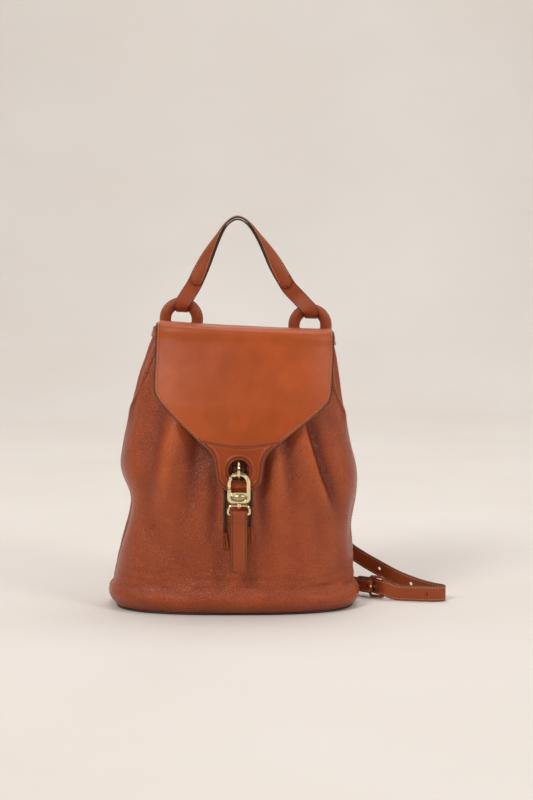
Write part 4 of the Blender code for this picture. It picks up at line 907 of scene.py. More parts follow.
def make_body():
    """Front and back panels: gathered, pebbled leather with turned seams at the sides."""
    heights = np.concatenate([np.linspace(BASE_Z, 0.030, 22)[:-1], np.linspace(0.030, RIM_Z, 128)])
    rows = []
    for name, columns in (("front_panel", 190), ("back_panel", 230)):
        turns = panel_turns(name, heights, columns)
        z = np.broadcast_to(heights[:, None], turns.shape)
        depth = fold_depth(turns, z)
        edge = np.minimum(np.arange(columns), np.arange(columns)[::-1]) * (0.400 / columns)
        tuck = np.exp(-(edge / 0.0022) ** 2)
        lip = np.exp(-((edge - 0.0055) / 0.0026) ** 2)
        seam = (-0.0020 * tuck + 0.0010 * lip)[None, :] * ease(0.004, 0.03, z) * ease(0.326, 0.315, z)
        sides = 0.12 + 0.88 * ease(0.045, 0.095, np.abs(body_point(turns, z)[..., 0]))
        crease = -0.0014 * sides * np.exp(-((z - 0.0315) / 0.0032) ** 2) + 0.0005 * np.exp(-((z - 0.0225) / 0.006) ** 2)
        depth = np.minimum(depth + seam + crease, 0.0054)
        outer = body_point(turns, z, depth)
        inner = body_point(turns, z, depth - LEATHER)
        # Painted light: from the depth and its curvature, the fold attribute lightens ridges as painted highlight and
        # darkens valleys as painted shade. It is also darker towards the bottom, with painted shade just under the
        # roll's crease.
        blur = depth - 0.25 * (np.roll(depth, 6, 1) + np.roll(depth, -6, 1) + np.roll(depth, 3, 1)
                               + np.roll(depth, -3, 1))
        tone = depth / 0.0130 + blur / 0.0036 - 0.22 * ease(0.15, 0.05, z) - 0.20 * ease(0.034, 0.026, z)
        # Painted shade along the side seams' tucks.
        tone = tone - 0.55 * np.exp(-(edge / 0.0030) ** 2)[None, :]
        tone = np.clip(tone, -1.0, 1.0)
        # A lighter band along the roll's bulge: wear, and a painted highlight.
        wear_and_highlight = np.exp(-((z - 0.019) / 0.007) ** 2) * (0.45 + 0.3 * ripple(outer, 0.03, 21))
        panel = sheet_piece(name + "_leather", outer, inner, [GRAINED],
                            {"fold": tone, "wear_and_highlight": np.clip(wear_and_highlight, 0, 1)}, swell=0.0)
        if name == "front_panel":
            for sign in (-1, 1):
                matrix = eyelet_matrix(sign)
                tool = joined_tool([cylinder_points(matrix.translation, matrix.col[2][:3], 0.0039, 0.02)], GRAINED)
                settle(panel, tool=tool)
        fit(panel, "bag", "grained_leather", name)
        if name == "back_panel":
            for column in (int(0.0036 / 0.400 * columns * 1.0) + 1, columns - 2 - int(0.0036 / 0.400 * columns)):
                line = outer[4:-8, column]
                normals = unit(np.stack([line[:, 0], line[:, 1] * 1.5, np.zeros(len(line))], -1))
                rows.append((line + normals * 0.0002, normals))
    stitches("side_seam_thread", rows, "bag", "grained_leather")


def make_base():
    """The dark sole under the roll, its rounded edge in edge paint and painted contact shadow."""
    turns = np.interp(np.linspace(0, PLAN_LENGTHS[-1], 241)[:-1], PLAN_LENGTHS, TURNS)
    profile = ((0.0, -0.0048), (0.0, -0.0024), (0.0006, -0.0010), (0.0016, -0.0004), (0.0026, -0.0010),
               (0.0030, -0.0026), (0.0030, -0.0060))
    rings = [body_point(turns, BASE_Z, reach, z) for z, reach in profile]
    inner = [body_point(turns, BASE_Z, -0.045, z) for z in (0.0030, 0.0)]
    points = np.vstack(rings + inner)
    count = len(turns)
    faces = grid_faces(len(profile) + 2, count, wrap=True)
    last = (len(profile) + 1) * count
    faces += [(last + i, last + (i + 1) % count, (i + 1) % count, i) for i in range(count)]
    sole = piece("base_sole_rim", points, faces, [PAINT])
    fit(sole, "bag", "smooth_leather")
    fill = [body_point(turns, BASE_Z, -0.0453, z) for z in (0.0004, 0.0028)]
    floor_faces = grid_faces(2, count, wrap=True) + [tuple(range(count)), tuple(range(2 * count - 1, count - 1, -1))]
    plate = piece("base_sole", np.vstack(fill), floor_faces, [SMOOTH])
    fit(plate, "bag", "smooth_leather", "base_panel")


def make_inside():
    """The cloth lining, which follows the folds, with its floor."""
    heights = np.concatenate([[0.0085], np.linspace(0.018, 0.284, 54)])
    turns = np.interp(np.linspace(0, PLAN_LENGTHS[-1], 181)[:-1], PLAN_LENGTHS, TURNS)
    z, turn = np.meshgrid(heights, turns, indexing="ij")
    depth = np.minimum(fold_depth(turn, z), 0.0) - LEATHER - 0.0028
    depth = np.where(z < 0.01, -0.0118, depth)
    outer = body_point(turn, z, depth)
    inner = body_point(turn, z, depth - 0.0008)
    inner[0, :, 2] += 0.0008
    count = len(turns)
    rows = len(heights)
    faces = grid_faces(rows, count, wrap=True) + grid_faces(rows, count, rows * count, wrap=True, turn=True)
    faces += [tuple(range(count - 1, -1, -1)), tuple(range(rows * count, (rows + 1) * count))]
    top = (rows - 1) * count
    faces += [(top + i, top + (i + 1) % count, top + rows * count + (i + 1) % count, top + rows * count + i)
              for i in range(count)]
    cloth = piece("lining_cloth", np.vstack([outer.reshape(-1, 3), inner.reshape(-1, 3)]), faces, [LINING_CLOTH])
    fit(cloth, "bag", "lining_fabric", "lining")


def make_rim():
    """The binding over the top edge, rounded, sewn along its lower edge and painted round its top."""
    turns = np.interp(np.linspace(0, PLAN_LENGTHS[-1], 301)[:-1], PLAN_LENGTHS, TURNS)
    top = RIM_Z + GAP
    low = RIM_Z - 0.010
    inside = -LEATHER - GAP
    profile = ((0.0003, low), (0.0010, low - 0.0002), (0.0015, low + 0.0006), (0.0015, low + 0.004),
               (0.0016, top - 0.0008), (0.0012, top + 0.0008), (0.0002, top + 0.0013),
               (-0.0022, top + 0.0013), (inside - 0.0010, top + 0.0006), (inside - 0.0012, top - 0.001),
               (inside - 0.0012, low + 0.0004), (inside - 0.0006, low), (inside, low), (inside, top), (0.0003, top))
    sections = np.stack([body_point(turns, z, out) for out, z in profile], 1)
    binding = sections_piece("rim_binding_leather", sections, [GRAINED, PAINT], {4, 5, 6, 7, 8}, closed=True)
    fit(binding, "bag", "smooth_leather", "rim_binding")
    closed = np.append(turns, turns[0])
    line = body_point(closed, low + 0.0026, 0.00165)
    normals = unit(line - body_point(closed, low + 0.0026, -0.01))
    stitches("rim_thread", [(line, normals)], "bag", "smooth_leather")


def make_eyelets():
    """Pressed brass eyelets with a rolled flange."""
    outline = [(0.0028, 0.0010)] + [(0.0043 + x, 0.0006 + z) for x, z in arc((0, 0), 0.0011, 165, 20, 7)]
    outline += [(0.0059, 0.0009), (0.0059, 0.0006), (0.0034, 0.0006), (0.0034, -0.0028), (0.0028, -0.0028)]
    for side, sign in (("left", -1), ("right", 1)):
        eyelet = lathe_piece("eyelet_ring_" + side, outline, eyelet_matrix(sign), 40, [BRASS])
        fit(eyelet, "bag", "brass", "eyelet_" + side)


make_body()
make_base()
make_inside()
make_rim()
make_eyelets()

# ---------------------------------------------------------------- flap

FLAP_CLEARANCE = 0.0060
FLAP_PLIES = 0.0014
FLAP_LEATHER = 0.0018
FLAP_CROWN = ((0.0545, 0.3290), (0.0540, 0.3315), (0.0505, 0.3328), (0.0380, 0.3332), (0.0200, 0.3333),
              (0.0000, 0.3333), (-0.0200, 0.3336), (-0.0380, 0.3338), (-0.0490, 0.3328), (-0.0540, 0.3275))
FLAP_FRONT = ((0.3150, 0.1045), (0.2950, 0.1040), (0.2700, 0.1038), (0.2620, 0.1034), (0.2560, 0.1022),
              (0.2500, 0.0988), (0.2400, 0.0892), (0.2235, 0.0706), (0.2090, 0.0535), (0.2010, 0.0450),
              (0.1930, 0.0358), (0.1840, 0.0305), (0.1730, 0.0285), (0.1630, 0.0272))
FLAP_TOP_HALF = 0.1045
TAB_END_HALF = 0.0272
TAB_END_Z = 0.1630
TAB_END_REACH = 0.0170


def front_y(z):
    return float(straight_extents(z)[2])


def flap_stations():
    """Every 0.8 mm down the flap: distance, Y, Z and half-width; its end is half an ellipse."""
    stations = [(y, z, FLAP_TOP_HALF) for y, z in FLAP_CROWN]
    stations += [(front_y(z) - FLAP_CLEARANCE - FLAP_PLIES, z, half) for z, half in FLAP_FRONT]
    for degrees in range(10, 90, 8):
        turn = math.radians(degrees)
        z = TAB_END_Z - TAB_END_REACH * math.sin(turn)
        stations.append((front_y(z) - FLAP_CLEARANCE - FLAP_PLIES, z, TAB_END_HALF * math.cos(turn)))
    line = curve_through(stations, 0.0008)
    steps = np.hypot(np.diff(line[:, 0]), np.diff(line[:, 1]))
    return np.column_stack([np.concatenate([[0.0], np.cumsum(steps)]), line])


FLAP_LINE = flap_stations()
FLAP_LENGTH = FLAP_LINE[-1, 0]


def along_flap(v, column):
    return np.interp(v, FLAP_LINE[:, 0], FLAP_LINE[:, column])


def flap_distance(z):
    """How far down the flap a height on its front lies."""
    front = FLAP_LINE[:, 1] < -0.05
    return np.interp(-np.asarray(z, float), -FLAP_LINE[front, 2], FLAP_LINE[front, 0])


def flap_at(v, x, out):
    """Points of the flap at a distance along it and a place across; out is from its inner face."""
    v, x, out = np.broadcast_arrays(np.asarray(v, float), np.asarray(x, float), np.asarray(out, float))
    y, z = along_flap(v, 1), along_flap(v, 2)
    step = 0.0025
    dy = along_flap(v + step, 1) - along_flap(v - step, 1)
    dz = along_flap(v + step, 2) - along_flap(v - step, 2)
    size = np.maximum(np.hypot(dy, dz), 1e-9)
    left, right, front, back = extents(np.minimum(z, RIM_Z))
    drop = (1.0 - np.minimum(np.abs(x) / ((right - left) / 2), 0.97) ** BODY_POWER) ** (1.0 / BODY_POWER)
    wrap = 0.55 * ease(0.030, -0.050, y) * (back - front) / 2 * (1.0 - drop)
    centre = mix(CLASP_X, CROWN_LEAN + 0.001, ease(HOLE_Z, CROWN_Z, z))
    sag = 0.0013 * (1.0 - np.minimum((x / 0.100) ** 2, 1.0)) * ease(0.300, 0.330, z)
    wave = ripple(np.stack([x, v, 0 * x], -1), 0.085, 4) * 0.00045 * ease(0.190, 0.225, z) * ease(0.01, 0.04, v)
    out = out - sag + wave
    return tilted(centre + x, y + wrap + dz / size * out, z - dy / size * out)


def flap_normal(v, x):
    across = flap_at(v, np.asarray(x) + 0.0008, 0.0) - flap_at(v, np.asarray(x) - 0.0008, 0.0)
    down = flap_at(np.asarray(v) + 0.0008, x, 0.0) - flap_at(np.asarray(v) - 0.0008, x, 0.0)
    return unit(np.cross(down, across))


def near_outline(v, x, outline):
    """Distance in the flattened flap from points to a polyline of (v, x)."""
    outline = np.asarray(outline, float)
    start, stop = outline[:-1], outline[1:]
    run = stop - start
    length = np.maximum((run ** 2).sum(1), 1e-12)
    flat = np.stack([v.ravel(), x.ravel()], 1)
    best = np.full(len(flat), 1.0)
    for first in range(0, len(flat), 4000):
        part = flat[first:first + 4000, None]
        share = np.clip(((part - start) * run).sum(2) / length, 0.0, 1.0)
        gap = np.linalg.norm(part - start - share[..., None] * run, axis=2)
        best[first:first + 4000] = gap.min(1)
    return best.reshape(v.shape)


def flap_outline(step=4):
    """The flap's sides and end as (v, x), from the left hinge corner round to the right one."""
    line = FLAP_LINE[::step]
    left = np.column_stack([line[:, 0], -line[:, 3]])
    right = np.column_stack([line[:, 0], line[:, 3]])
    return np.vstack([left, right[::-1]])


def inset_line(outline, distance):
    """The outline moved inwards, evenly spaced."""
    run = unit(np.gradient(outline, axis=0))
    moved = outline + np.stack([-run[:, 1], run[:, 0]], 1) * distance
    return walk(np.column_stack([moved, np.zeros(len(moved))]), np.arange(0.0, line_length(
        np.column_stack([moved, np.zeros(len(moved))])), 0.0012))[:, :2]


def rounded(edge, reach=0.0006):
    """A rounded corner: 1 at the edge, falling to 0."""
    return np.exp(-(edge / reach) ** 2)


def hole_distance(v, x):
    """Distance in the flattened flap from the hole's centre."""
    return np.hypot(v - flap_distance(HOLE_Z), x)


def hole_tool(material):
    return joined_tool([cylinder_points((CLASP_X, front_y(HOLE_Z) - 0.008, HOLE_Z), (0, -1, 0),
                                        HOLE_RADIUS, 0.03, 72)], material)


def crowded(columns):
    """Places from -1 to 1 that crowd towards the ends."""
    even = np.linspace(-1.0, 1.0, columns)
    return 0.62 * np.sin(even * math.pi / 2) + 0.38 * even


def make_flap_leather():
    v = np.concatenate([np.linspace(0.0, FLAP_LENGTH - 0.02, 190)[:-1], np.linspace(FLAP_LENGTH - 0.02, FLAP_LENGTH, 22)])
    half = along_flap(v, 3)
    shares = crowded(141)
    x = half[:, None] * shares
    v = np.broadcast_to(v[:, None], x.shape)
    outline = flap_outline()
    edge = near_outline(v, x, outline)
    pucker = 0.00007 * np.sin(2 * math.pi * v / 0.0031) * np.exp(-((edge - 0.0032) / 0.0012) ** 2)
    out = FLAP_LEATHER - 0.0008 * rounded(edge) - 0.00030 * rounded(edge - 0.0030, 0.0006) + pucker
    out += 0.00012 * rounded(edge - 0.0048, 0.0012)
    wear_and_highlight = 0.22 * ease(0.2, 1.2, ripple(flap_at(v, x, 0.0), 0.05, 14))
    # Painted shade in the sewing groove; darker towards the edge.
    groove = -0.75 * rounded(edge - 0.0030, 0.0007) - 0.35 * ease(0.0050, 0.0, edge)
    # Patchy tone at random, and painted shade over the top of the crown.
    patches_and_crown_shade = 0.35 * ripple(flap_at(v, x, 0.0), 0.09, 17) - 0.5 * ease(0.325, 0.333, along_flap(v, 2))
    # painted=2 carries the dark edge paint onto the front face, where it also stands in for the shadow under the edge.
    leather = sheet_piece("flap_leather", flap_at(v, x, out), flap_at(v, x, 0.0), [SMOOTH, PAINT],
                          {"wear_and_highlight": np.clip(wear_and_highlight, 0, 1), "fold": groove + 0.3 * patches_and_crown_shade}, swell=0.0003, painted=2)
    settle(leather, tool=hole_tool(PAINT))
    fit(leather, "flap", "smooth_leather", "flap")
    v = np.linspace(0.0062, FLAP_LENGTH - 0.0006, 150)
    x = (along_flap(v, 3) - 0.0012)[:, None] * np.linspace(-1.0, 1.0, 81)
    v = np.broadcast_to(v[:, None], x.shape)
    lining = sheet_piece("flap_suede_lining", flap_at(v, x, -0.0006), flap_at(v, x, -0.0014), [SUEDE], swell=0.0001)
    settle(lining, tool=hole_tool(SUEDE))
    fit(lining, "flap", "lining_fabric", "flap_lining")


TAB_TOP_HALF = 0.0462
TAB_TOP_Z = (0.1974, 0.2038)


def tab_top(x):
    """The overlay's upper edge as a distance down the flap: a shallow smile."""
    share = np.clip(np.abs(x) / TAB_TOP_HALF, 0.0, 1.0)
    return flap_distance(TAB_TOP_Z[0] + (TAB_TOP_Z[1] - TAB_TOP_Z[0]) * share ** 2)


def make_tab_overlay():
    """The sewn reinforcement round the hole, with raised piping along its edge and round the hole."""
    shares = crowded(121)
    start = tab_top(shares * TAB_TOP_HALF)
    down = np.linspace(0.0, 1.0, 118)[:, None]
    v = start + (FLAP_LENGTH - 0.0008 - start) * down
    half = along_flap(v, 3) - 0.0010
    x = half * shares
    outline = flap_outline(2)
    edge = np.maximum(near_outline(v, x, outline) - 0.0010, 0.0)
    ring = hole_distance(v, x)
    below_top = v - start
    base = 0.0021
    piping = rounded(edge - 0.0056, 0.0010)
    collar = rounded(ring - 0.0168, 0.0010)
    ridge = 0.00115 * np.maximum(piping, collar) * ease(0.001, 0.006, below_top)
    groove = 0.00028 * np.maximum(rounded(edge - 0.0036, 0.0007), rounded(ring - 0.0149, 0.0006))
    groove = groove + 0.00020 * np.maximum(rounded(edge - 0.0074, 0.0007), rounded(ring - 0.0187, 0.0007))
    skived = 0.0009 * (1.0 - ease(0.0, 0.0035, below_top))
    pucker = 0.00006 * np.sin(2 * math.pi * v / 0.0031) * rounded(edge - 0.0028, 0.0010)
    out = base + 0.0014 + ridge - groove - skived + pucker
    out -= 0.0007 * np.maximum(rounded(edge, 0.0005), rounded(ring - HOLE_RADIUS, 0.0006))
    under = np.full_like(out, base)
    # Painted highlight along the piping and the raised collar round the hole.
    wear_and_highlight = 0.9 * np.maximum(piping, collar) * (0.7 + 0.3 * ripple(flap_at(v, x, 0.0), 0.02, 31))
    # Painted shade in the sewing grooves and along the overlay's top edge, carried by the fold attribute.
    seam = np.maximum(rounded(edge - 0.0032, 0.0008), rounded(ring - 0.0148, 0.0007))
    seam = np.maximum(seam, 0.7 * ease(0.0016, 0.0, below_top))
    # painted=3 carries the dark edge paint onto the overlay's face, also standing in for the shadow under its edge.
    tab = sheet_piece("tab_overlay_leather", flap_at(v, x, out), flap_at(v, x, under), [TAB, PAINT],
                      {"wear_and_highlight": np.clip(wear_and_highlight, 0, 1), "fold": -0.55 * seam}, swell=0.0003, painted=3)
    settle(tab, tool=hole_tool(PAINT))
    fit(tab, "flap", "smooth_leather", "tab_overlay")


def flap_row(line, out):
    v, x = line[:, 0], line[:, 1]
    return flap_at(v, x, out), flap_normal(v, x)


def make_flap_thread():
    """Sewing along the flap's sides, over the tab's seam, round the tab and round its hole."""
    outline = flap_outline(2)
    rows, tab_rows = [], []
    inner = inset_line(outline, 0.0032)
    stop = float(flap_distance(0.2070))
    for side in (-1, 1):
        part = inner[(inner[:, 1] * side > 0) & (inner[:, 0] < stop) & (inner[:, 0] > 0.010)]
        rows.append(flap_row(part, FLAP_LEATHER - 0.00010))
    places = np.linspace(-TAB_TOP_HALF + 0.0040, TAB_TOP_HALF - 0.0040, 70)
    seam = np.column_stack([tab_top(places) - 0.0022, places])
    tab_rows.append(flap_row(seam, FLAP_LEATHER + 0.00012))
    tab_line = inset_line(outline, 0.0036)
    start = float(flap_distance(0.2015))
    tab_line = tab_line[tab_line[:, 0] > start]
    tab_rows.append(flap_row(tab_line, 0.00355))
    turns = np.linspace(0.0, 2 * math.pi, 90)
    ring = np.column_stack([flap_distance(HOLE_Z) - 0.0148 * np.cos(turns), 0.0148 * np.sin(turns)])
    tab_rows.append(flap_row(ring, 0.00350))
    stitches("flap_thread", rows, "flap", "smooth_leather")
    stitches("tab_thread", tab_rows, "flap", "smooth_leather", DARK_THREAD)


def make_anchor():
    """The sewn strip that holds the flap's back edge."""
    turns = np.radians(np.linspace(124.5, 235.5, 150))
    z = np.array((0.2990, 0.2994, 0.3000, 0.3010, 0.3030, 0.3070, 0.3110, 0.3130, 0.3140, 0.3146, 0.3150))
    swell = np.array((0.0, 0.0008, 0.0011, 0.0009, 0.0012, 0.0013, 0.0012, 0.0009, 0.0011, 0.0008, 0.0))
    heights, here = np.meshgrid(z, turns, indexing="ij")
    outer = body_point(here, heights, 0.0018 + swell[:, None])
    strip = sheet_piece("flap_anchor_leather", outer, body_point(here, heights, 0.0010), [SMOOTH, PAINT], swell=0.0002)
    fit(strip, "bag", "smooth_leather", "flap_anchor")
    rows = []
    for z in (0.3012, 0.3128):
        line = body_point(turns[4:-4], z, 0.0029)
        rows.append((line, unit(line - body_point(turns[4:-4], z, -0.01))))
    stitches("flap_anchor_thread", rows, "bag", "smooth_leather")


TAB = leather_material("tab_leather_finish", (0.345, 0.060, 0.012), 1300.0, 0.08, 0.20, 0.32)
make_flap_leather()
make_tab_overlay()
make_flap_thread()
make_anchor()

# ---------------------------------------------------------------- clasp

CLASP_Y = front_y(HOLE_Z) - FLAP_CLEARANCE - FLAP_PLIES - FLAP_LEATHER - 0.0075
HOOK_BAR_Z = 0.1692
HOOK_WIDTH = 0.0264
HOOK_BOTTOM = 0.1352
HOOK_LIMB = 0.0042
HOOK_DEPTH = 0.0042
HOOK_TOP_CENTRE = HOOK_BAR_Z + HOOK_LIMB / 2 - HOOK_WIDTH / 2
GATE_LOW = 0.1516
GATE_HIGH = 0.1659
LOOP_RADIUS = 0.00865
LOOP_WIRE = 0.00185
LOOP_Z = HOOK_BAR_Z + 0.0038
CLASP = Matrix.Translation((CLASP_X, CLASP_Y, 0.0))


def box_tool(low, high, depth, material):
    """A box in the clasp's XZ plane as a cutting shape."""
    outline = [low, (high[0], low[1]), high, (low[0], high[1])]
    points = [CLASP @ Vector((x, y, z)) for y in (-depth / 2, depth / 2) for x, z in outline]
    faces = [(0, 1, 2, 3), (7, 6, 5, 4)] + [(i, (i + 1) % 4, (i + 1) % 4 + 4, i + 4) for i in range(4)]
    return points, faces


def make_front_seat():
    """The leather seat behind the hole, with a lug each side of the loop ring; very dark, as painted shade."""
    face = front_y(HOLE_Z) - 0.0006
    half, high, corner = 0.0076, 0.0150, 0.0030
    outline = []
    for x, z, start in ((half - corner, high - corner, 90), (half - corner, -high + corner, 0),
                        (-half + corner, -high + corner, -90), (-half + corner, high - corner, -180)):
        outline += arc((x, z), corner, start, start - 90, 6)
    seat = prism_piece("front_seat_leather", outline, Matrix.Translation((CLASP_X, face - 0.0007, HOLE_Z)),
                       0.0014, [SEAT_SHADE])
    settle(seat, width=0.0004)
    for sign in (-1, 1):
        lug = [(0.6 * x, z) for x, z in arc((0, 0), 0.0034, 0, 345, 23)]
        place = Matrix.Translation((CLASP_X + sign * 0.0046, face - 0.0036 - 0.0005, LOOP_Z))
        settle(seat, tool=prism_piece("tool", lug, place, 0.0072, [SEAT_SHADE]), operation="UNION")
    fit(seat, "bag", "strap_leather", "front_chape")
    line = [(x, z + HOLE_Z) for x, z in [(0.0056, 0.0130), (0.0056, -0.0130), (-0.0056, -0.0130), (-0.0056, 0.0130)]]
    rows = []
    for start, stop in zip(line, line[1:] + line[:1]):
        points = np.linspace((CLASP_X + start[0], face - 0.00145, start[1]),
                             (CLASP_X + stop[0], face - 0.00145, stop[1]), 12)
        points = points[np.abs(points[:, 2] - LOOP_Z) > 0.0052]
        if len(points) > 3 and np.abs(np.diff(points[:, 2])).max() < 0.004:
            rows.append((points, np.broadcast_to((0.0, -1.0, 0.0), points.shape)))
    if rows:
        stitches("front_seat_thread", rows, "bag", "strap_leather")


def make_clasp_ring():
    turns = 2 * math.pi * np.arange(72) / 72
    path = np.stack([np.full(72, CLASP_X), CLASP_Y + 0.0012 + LOOP_RADIUS * np.cos(turns),
                     LOOP_Z + LOOP_RADIUS * np.sin(turns)], 1)
    fit(tube_piece("loop_ring_metal", path, LOOP_WIRE - 0.00012, [BRASS], 22), "flap", "brass", "loop_ring")


def hook_outline():
    """The hook in XZ: the outside, then back along the inside, open at the gate."""
    half = HOOK_WIDTH / 2
    corner = 0.0060
    outline = [(-half, GATE_LOW)]
    outline += arc((-half + corner, HOOK_BOTTOM + corner), corner, 180, 270, 10)
    outline += arc((half - corner, HOOK_BOTTOM + corner), corner, 270, 360, 10)
    outline += arc((0, HOOK_TOP_CENTRE), half, 0, 90, 18)
    outline += arc((0, HOOK_TOP_CENTRE), half, 90, 180, 18)[1:]
    inner = half - HOOK_LIMB
    rise = 0.0016
    low = HOOK_BOTTOM + 0.0130 - rise
    outline += arc((0, HOOK_TOP_CENTRE), inner, 180, 0, 28)
    outline += [(inner * math.cos(a), low + rise * math.sin(a)) for a in np.linspace(0, math.pi, 15)]
    outline.append((-inner, GATE_LOW))
    return outline


def make_hook_metal():
    half = HOOK_WIDTH / 2
    inner = half - HOOK_LIMB
    middle = -half + HOOK_LIMB / 2
    pin_z = GATE_LOW - 0.0030
    hook = prism_piece("hook_metal", hook_outline(), CLASP, HOOK_DEPTH, [BRASS])
    settle(hook, width=0.0018, segments=5, angle=60)
    pin = cylinder_points((CLASP_X + middle, CLASP_Y, pin_z), (0, 1, 0), 0.0010, 0.008, 24)
    tools = (box_tool((-half - 0.002, GATE_LOW), (0.0, GATE_HIGH), 0.008, BRASS),
             box_tool((-half - 0.002, pin_z - 0.0027), (middle + 0.0027, GATE_LOW + 0.001), 0.0021, BRASS), pin)
    for tool in tools:
        settle(hook, tool=joined_tool([tool], BRASS))
    fit(hook, "hook", "brass", "hook_body")
    face = Matrix.Translation((CLASP_X, CLASP_Y - HOOK_DEPTH / 2 - 0.00006, HOOK_BOTTOM + 0.0064))
    inlay = [(0.0100 * math.cos(a), 0.0046 * math.sin(a)) for a in np.linspace(0, 2 * math.pi, 65)[:-1]]
    fit(prism_piece("hook_plate_inlay", inlay, face, 0.0002, [BRUSHED]), "hook", "brass")
    turns = 2 * math.pi * np.arange(64) / 64
    oval = np.stack([CLASP_X + 0.0100 * np.cos(turns), np.full(64, CLASP_Y - HOOK_DEPTH / 2),
                     HOOK_BOTTOM + 0.0064 + 0.0046 * np.sin(turns)], 1)
    fit(tube_piece("hook_plate_rim", oval, 0.00038, [BRASS], 10), "hook", "brass")
    bar_low = GATE_LOW + 0.0010
    tongue = [(middle - 0.0014, bar_low + 0.0004), (middle - 0.0014, pin_z)]
    tongue += arc((middle, pin_z), 0.0020, 200, 340, 12)
    tongue += [(middle + 0.0014, pin_z), (middle + 0.0014, bar_low + 0.0004)]
    gate = prism_piece("gate_metal", tongue, CLASP, 0.0016, [BRASS])
    bar_top = GATE_HIGH - 0.0005
    tip = -0.0074
    outer_end = 180 - math.degrees(math.asin((bar_top - HOOK_TOP_CENTRE) / half))
    inner_end = math.degrees(math.acos(tip / inner))
    bar = [(-half, bar_low - 0.0001), (-inner - 0.0009, bar_low - 0.0001), (-inner, bar_low + 0.0009)]
    bar += arc((0, HOOK_TOP_CENTRE), inner, 180, inner_end, 8) + [(tip, bar_top)]
    bar += arc((0, HOOK_TOP_CENTRE), half, outer_end, 180, 8)
    body = prism_piece("tool", bar, CLASP, HOOK_DEPTH - 0.0002, [BRASS])
    settle(body, width=0.0016, segments=5, angle=60)
    settle(gate, tool=body, operation="UNION")
    settle(gate, tool=joined_tool([pin], BRASS))
    fit(gate, "gate", "brass", "hook_gate")


SWIVEL_TOP = HOOK_BOTTOM - 0.0006
SWIVEL_LOW = 0.1300
D_WIDTH = 0.0244
D_WIRE = 0.0016
D_BAR_Z = 0.1222
STRAP_FOLD = D_WIRE + 0.0004


def make_swivel_metal():
    """The swivelling D that holds the pull strap, with its turned hub."""
    half = D_WIDTH / 2
    top = (SWIVEL_TOP + SWIVEL_LOW) / 2
    path = arc((half - 0.0050, top - 0.0050), 0.0050, 90, 0, 10)
    path += arc((half - 0.0019, D_BAR_Z + 0.0019), 0.0019, 0, -90, 8)
    path += arc((-half + 0.0019, D_BAR_Z + 0.0019), 0.0019, 270, 180, 8)
    path += arc((-half + 0.0050, top - 0.0050), 0.0050, 180, 90, 10)
    path += [(-0.004, top), (0.0, top), (0.004, top)]
    eye = tube_piece("swivel_metal", [(CLASP_X + x, CLASP_Y, z) for x, z in path], D_WIRE, [BRASS], 18)
    hub = [(0.0002, SWIVEL_LOW), (0.0024, SWIVEL_LOW), (0.0032, SWIVEL_LOW + 0.0006), (0.0037, top - 0.0012),
           (0.0037, top + 0.0012), (0.0032, SWIVEL_TOP - 0.0006), (0.0024, SWIVEL_TOP), (0.0002, SWIVEL_TOP)]
    settle(eye, tool=lathe_piece("tool", hub, CLASP, 36, [BRASS]), operation="UNION")
    settle(eye, tool=joined_tool([cylinder_points((CLASP_X, CLASP_Y, top), (0, 0, 1), 0.0014, 0.012)], BRASS))
    fit(eye, "swivel", "brass", "swivel_eye")


def make_pull():
    """One strip folded over the swivel's bar; both plies are sewn together."""
    ply = 0.00105
    fold = STRAP_FOLD + 0.00095
    low, high = 0.0525, D_BAR_Z - 0.0068
    front = [(-ply, z) for z in np.linspace(low, high - 0.006, 24)]
    turn = [(-mix(ply, fold, float(ease(high - 0.006, D_BAR_Z - 0.0010, z))), z)
            for z in np.linspace(high - 0.005, D_BAR_Z - 0.0010, 9)]
    over = [(fold * math.cos(a), D_BAR_Z + fold * math.sin(a)) for a in np.radians(np.linspace(180, 0, 19))]
    profile = front + turn + over + [(-y, z) for y, z in (front + turn)[::-1]]
    path = np.array([(CLASP_X, CLASP_Y + y, z) for y, z in profile])
    across = np.broadcast_to((-1.0, 0.0, 0.0), path.shape)
    strap = strap_piece("pull_strap_leather", path, across, 0.0200, 0.0019, round_ends=(0.0015, 0.0015))
    fit(strap, "pull_strap", "strap_leather", "pull_strap")
    rows = strap_lines(path, across, 0.0200, 0.0019, inset=0.0023, trim=0.004)
    for z in (0.1120, 0.0555):
        places = np.linspace(CLASP_X - 0.0072, CLASP_X + 0.0072, 14)
        for sign in (-1, 1):
            line = np.stack([places, np.full(14, CLASP_Y + sign * (ply + 0.00100)), np.full(14, z)], 1)
            rows.append((line, np.broadcast_to((0.0, float(sign), 0.0), line.shape)))
    stitches("pull_strap_thread", rows, "pull_strap", "strap_leather", DARK_THREAD)


make_front_seat()
make_clasp_ring()
make_hook_metal()
make_swivel_metal()
make_pull()

# ---------------------------------------------------------------- rings and handle

CROWN = Matrix.Translation((CROWN_LEAN + 0.0005, 0.0680, 0.3370)) @ Matrix.Rotation(math.atan(CROWN_TILT), 4, "Y")
RING_HALF_SPACING = 0.0795
RING_RADIUS = 0.0198
RING_TUBE = 0.0070
RING_PLAY = 0.0012
RING_Y = 0.0680


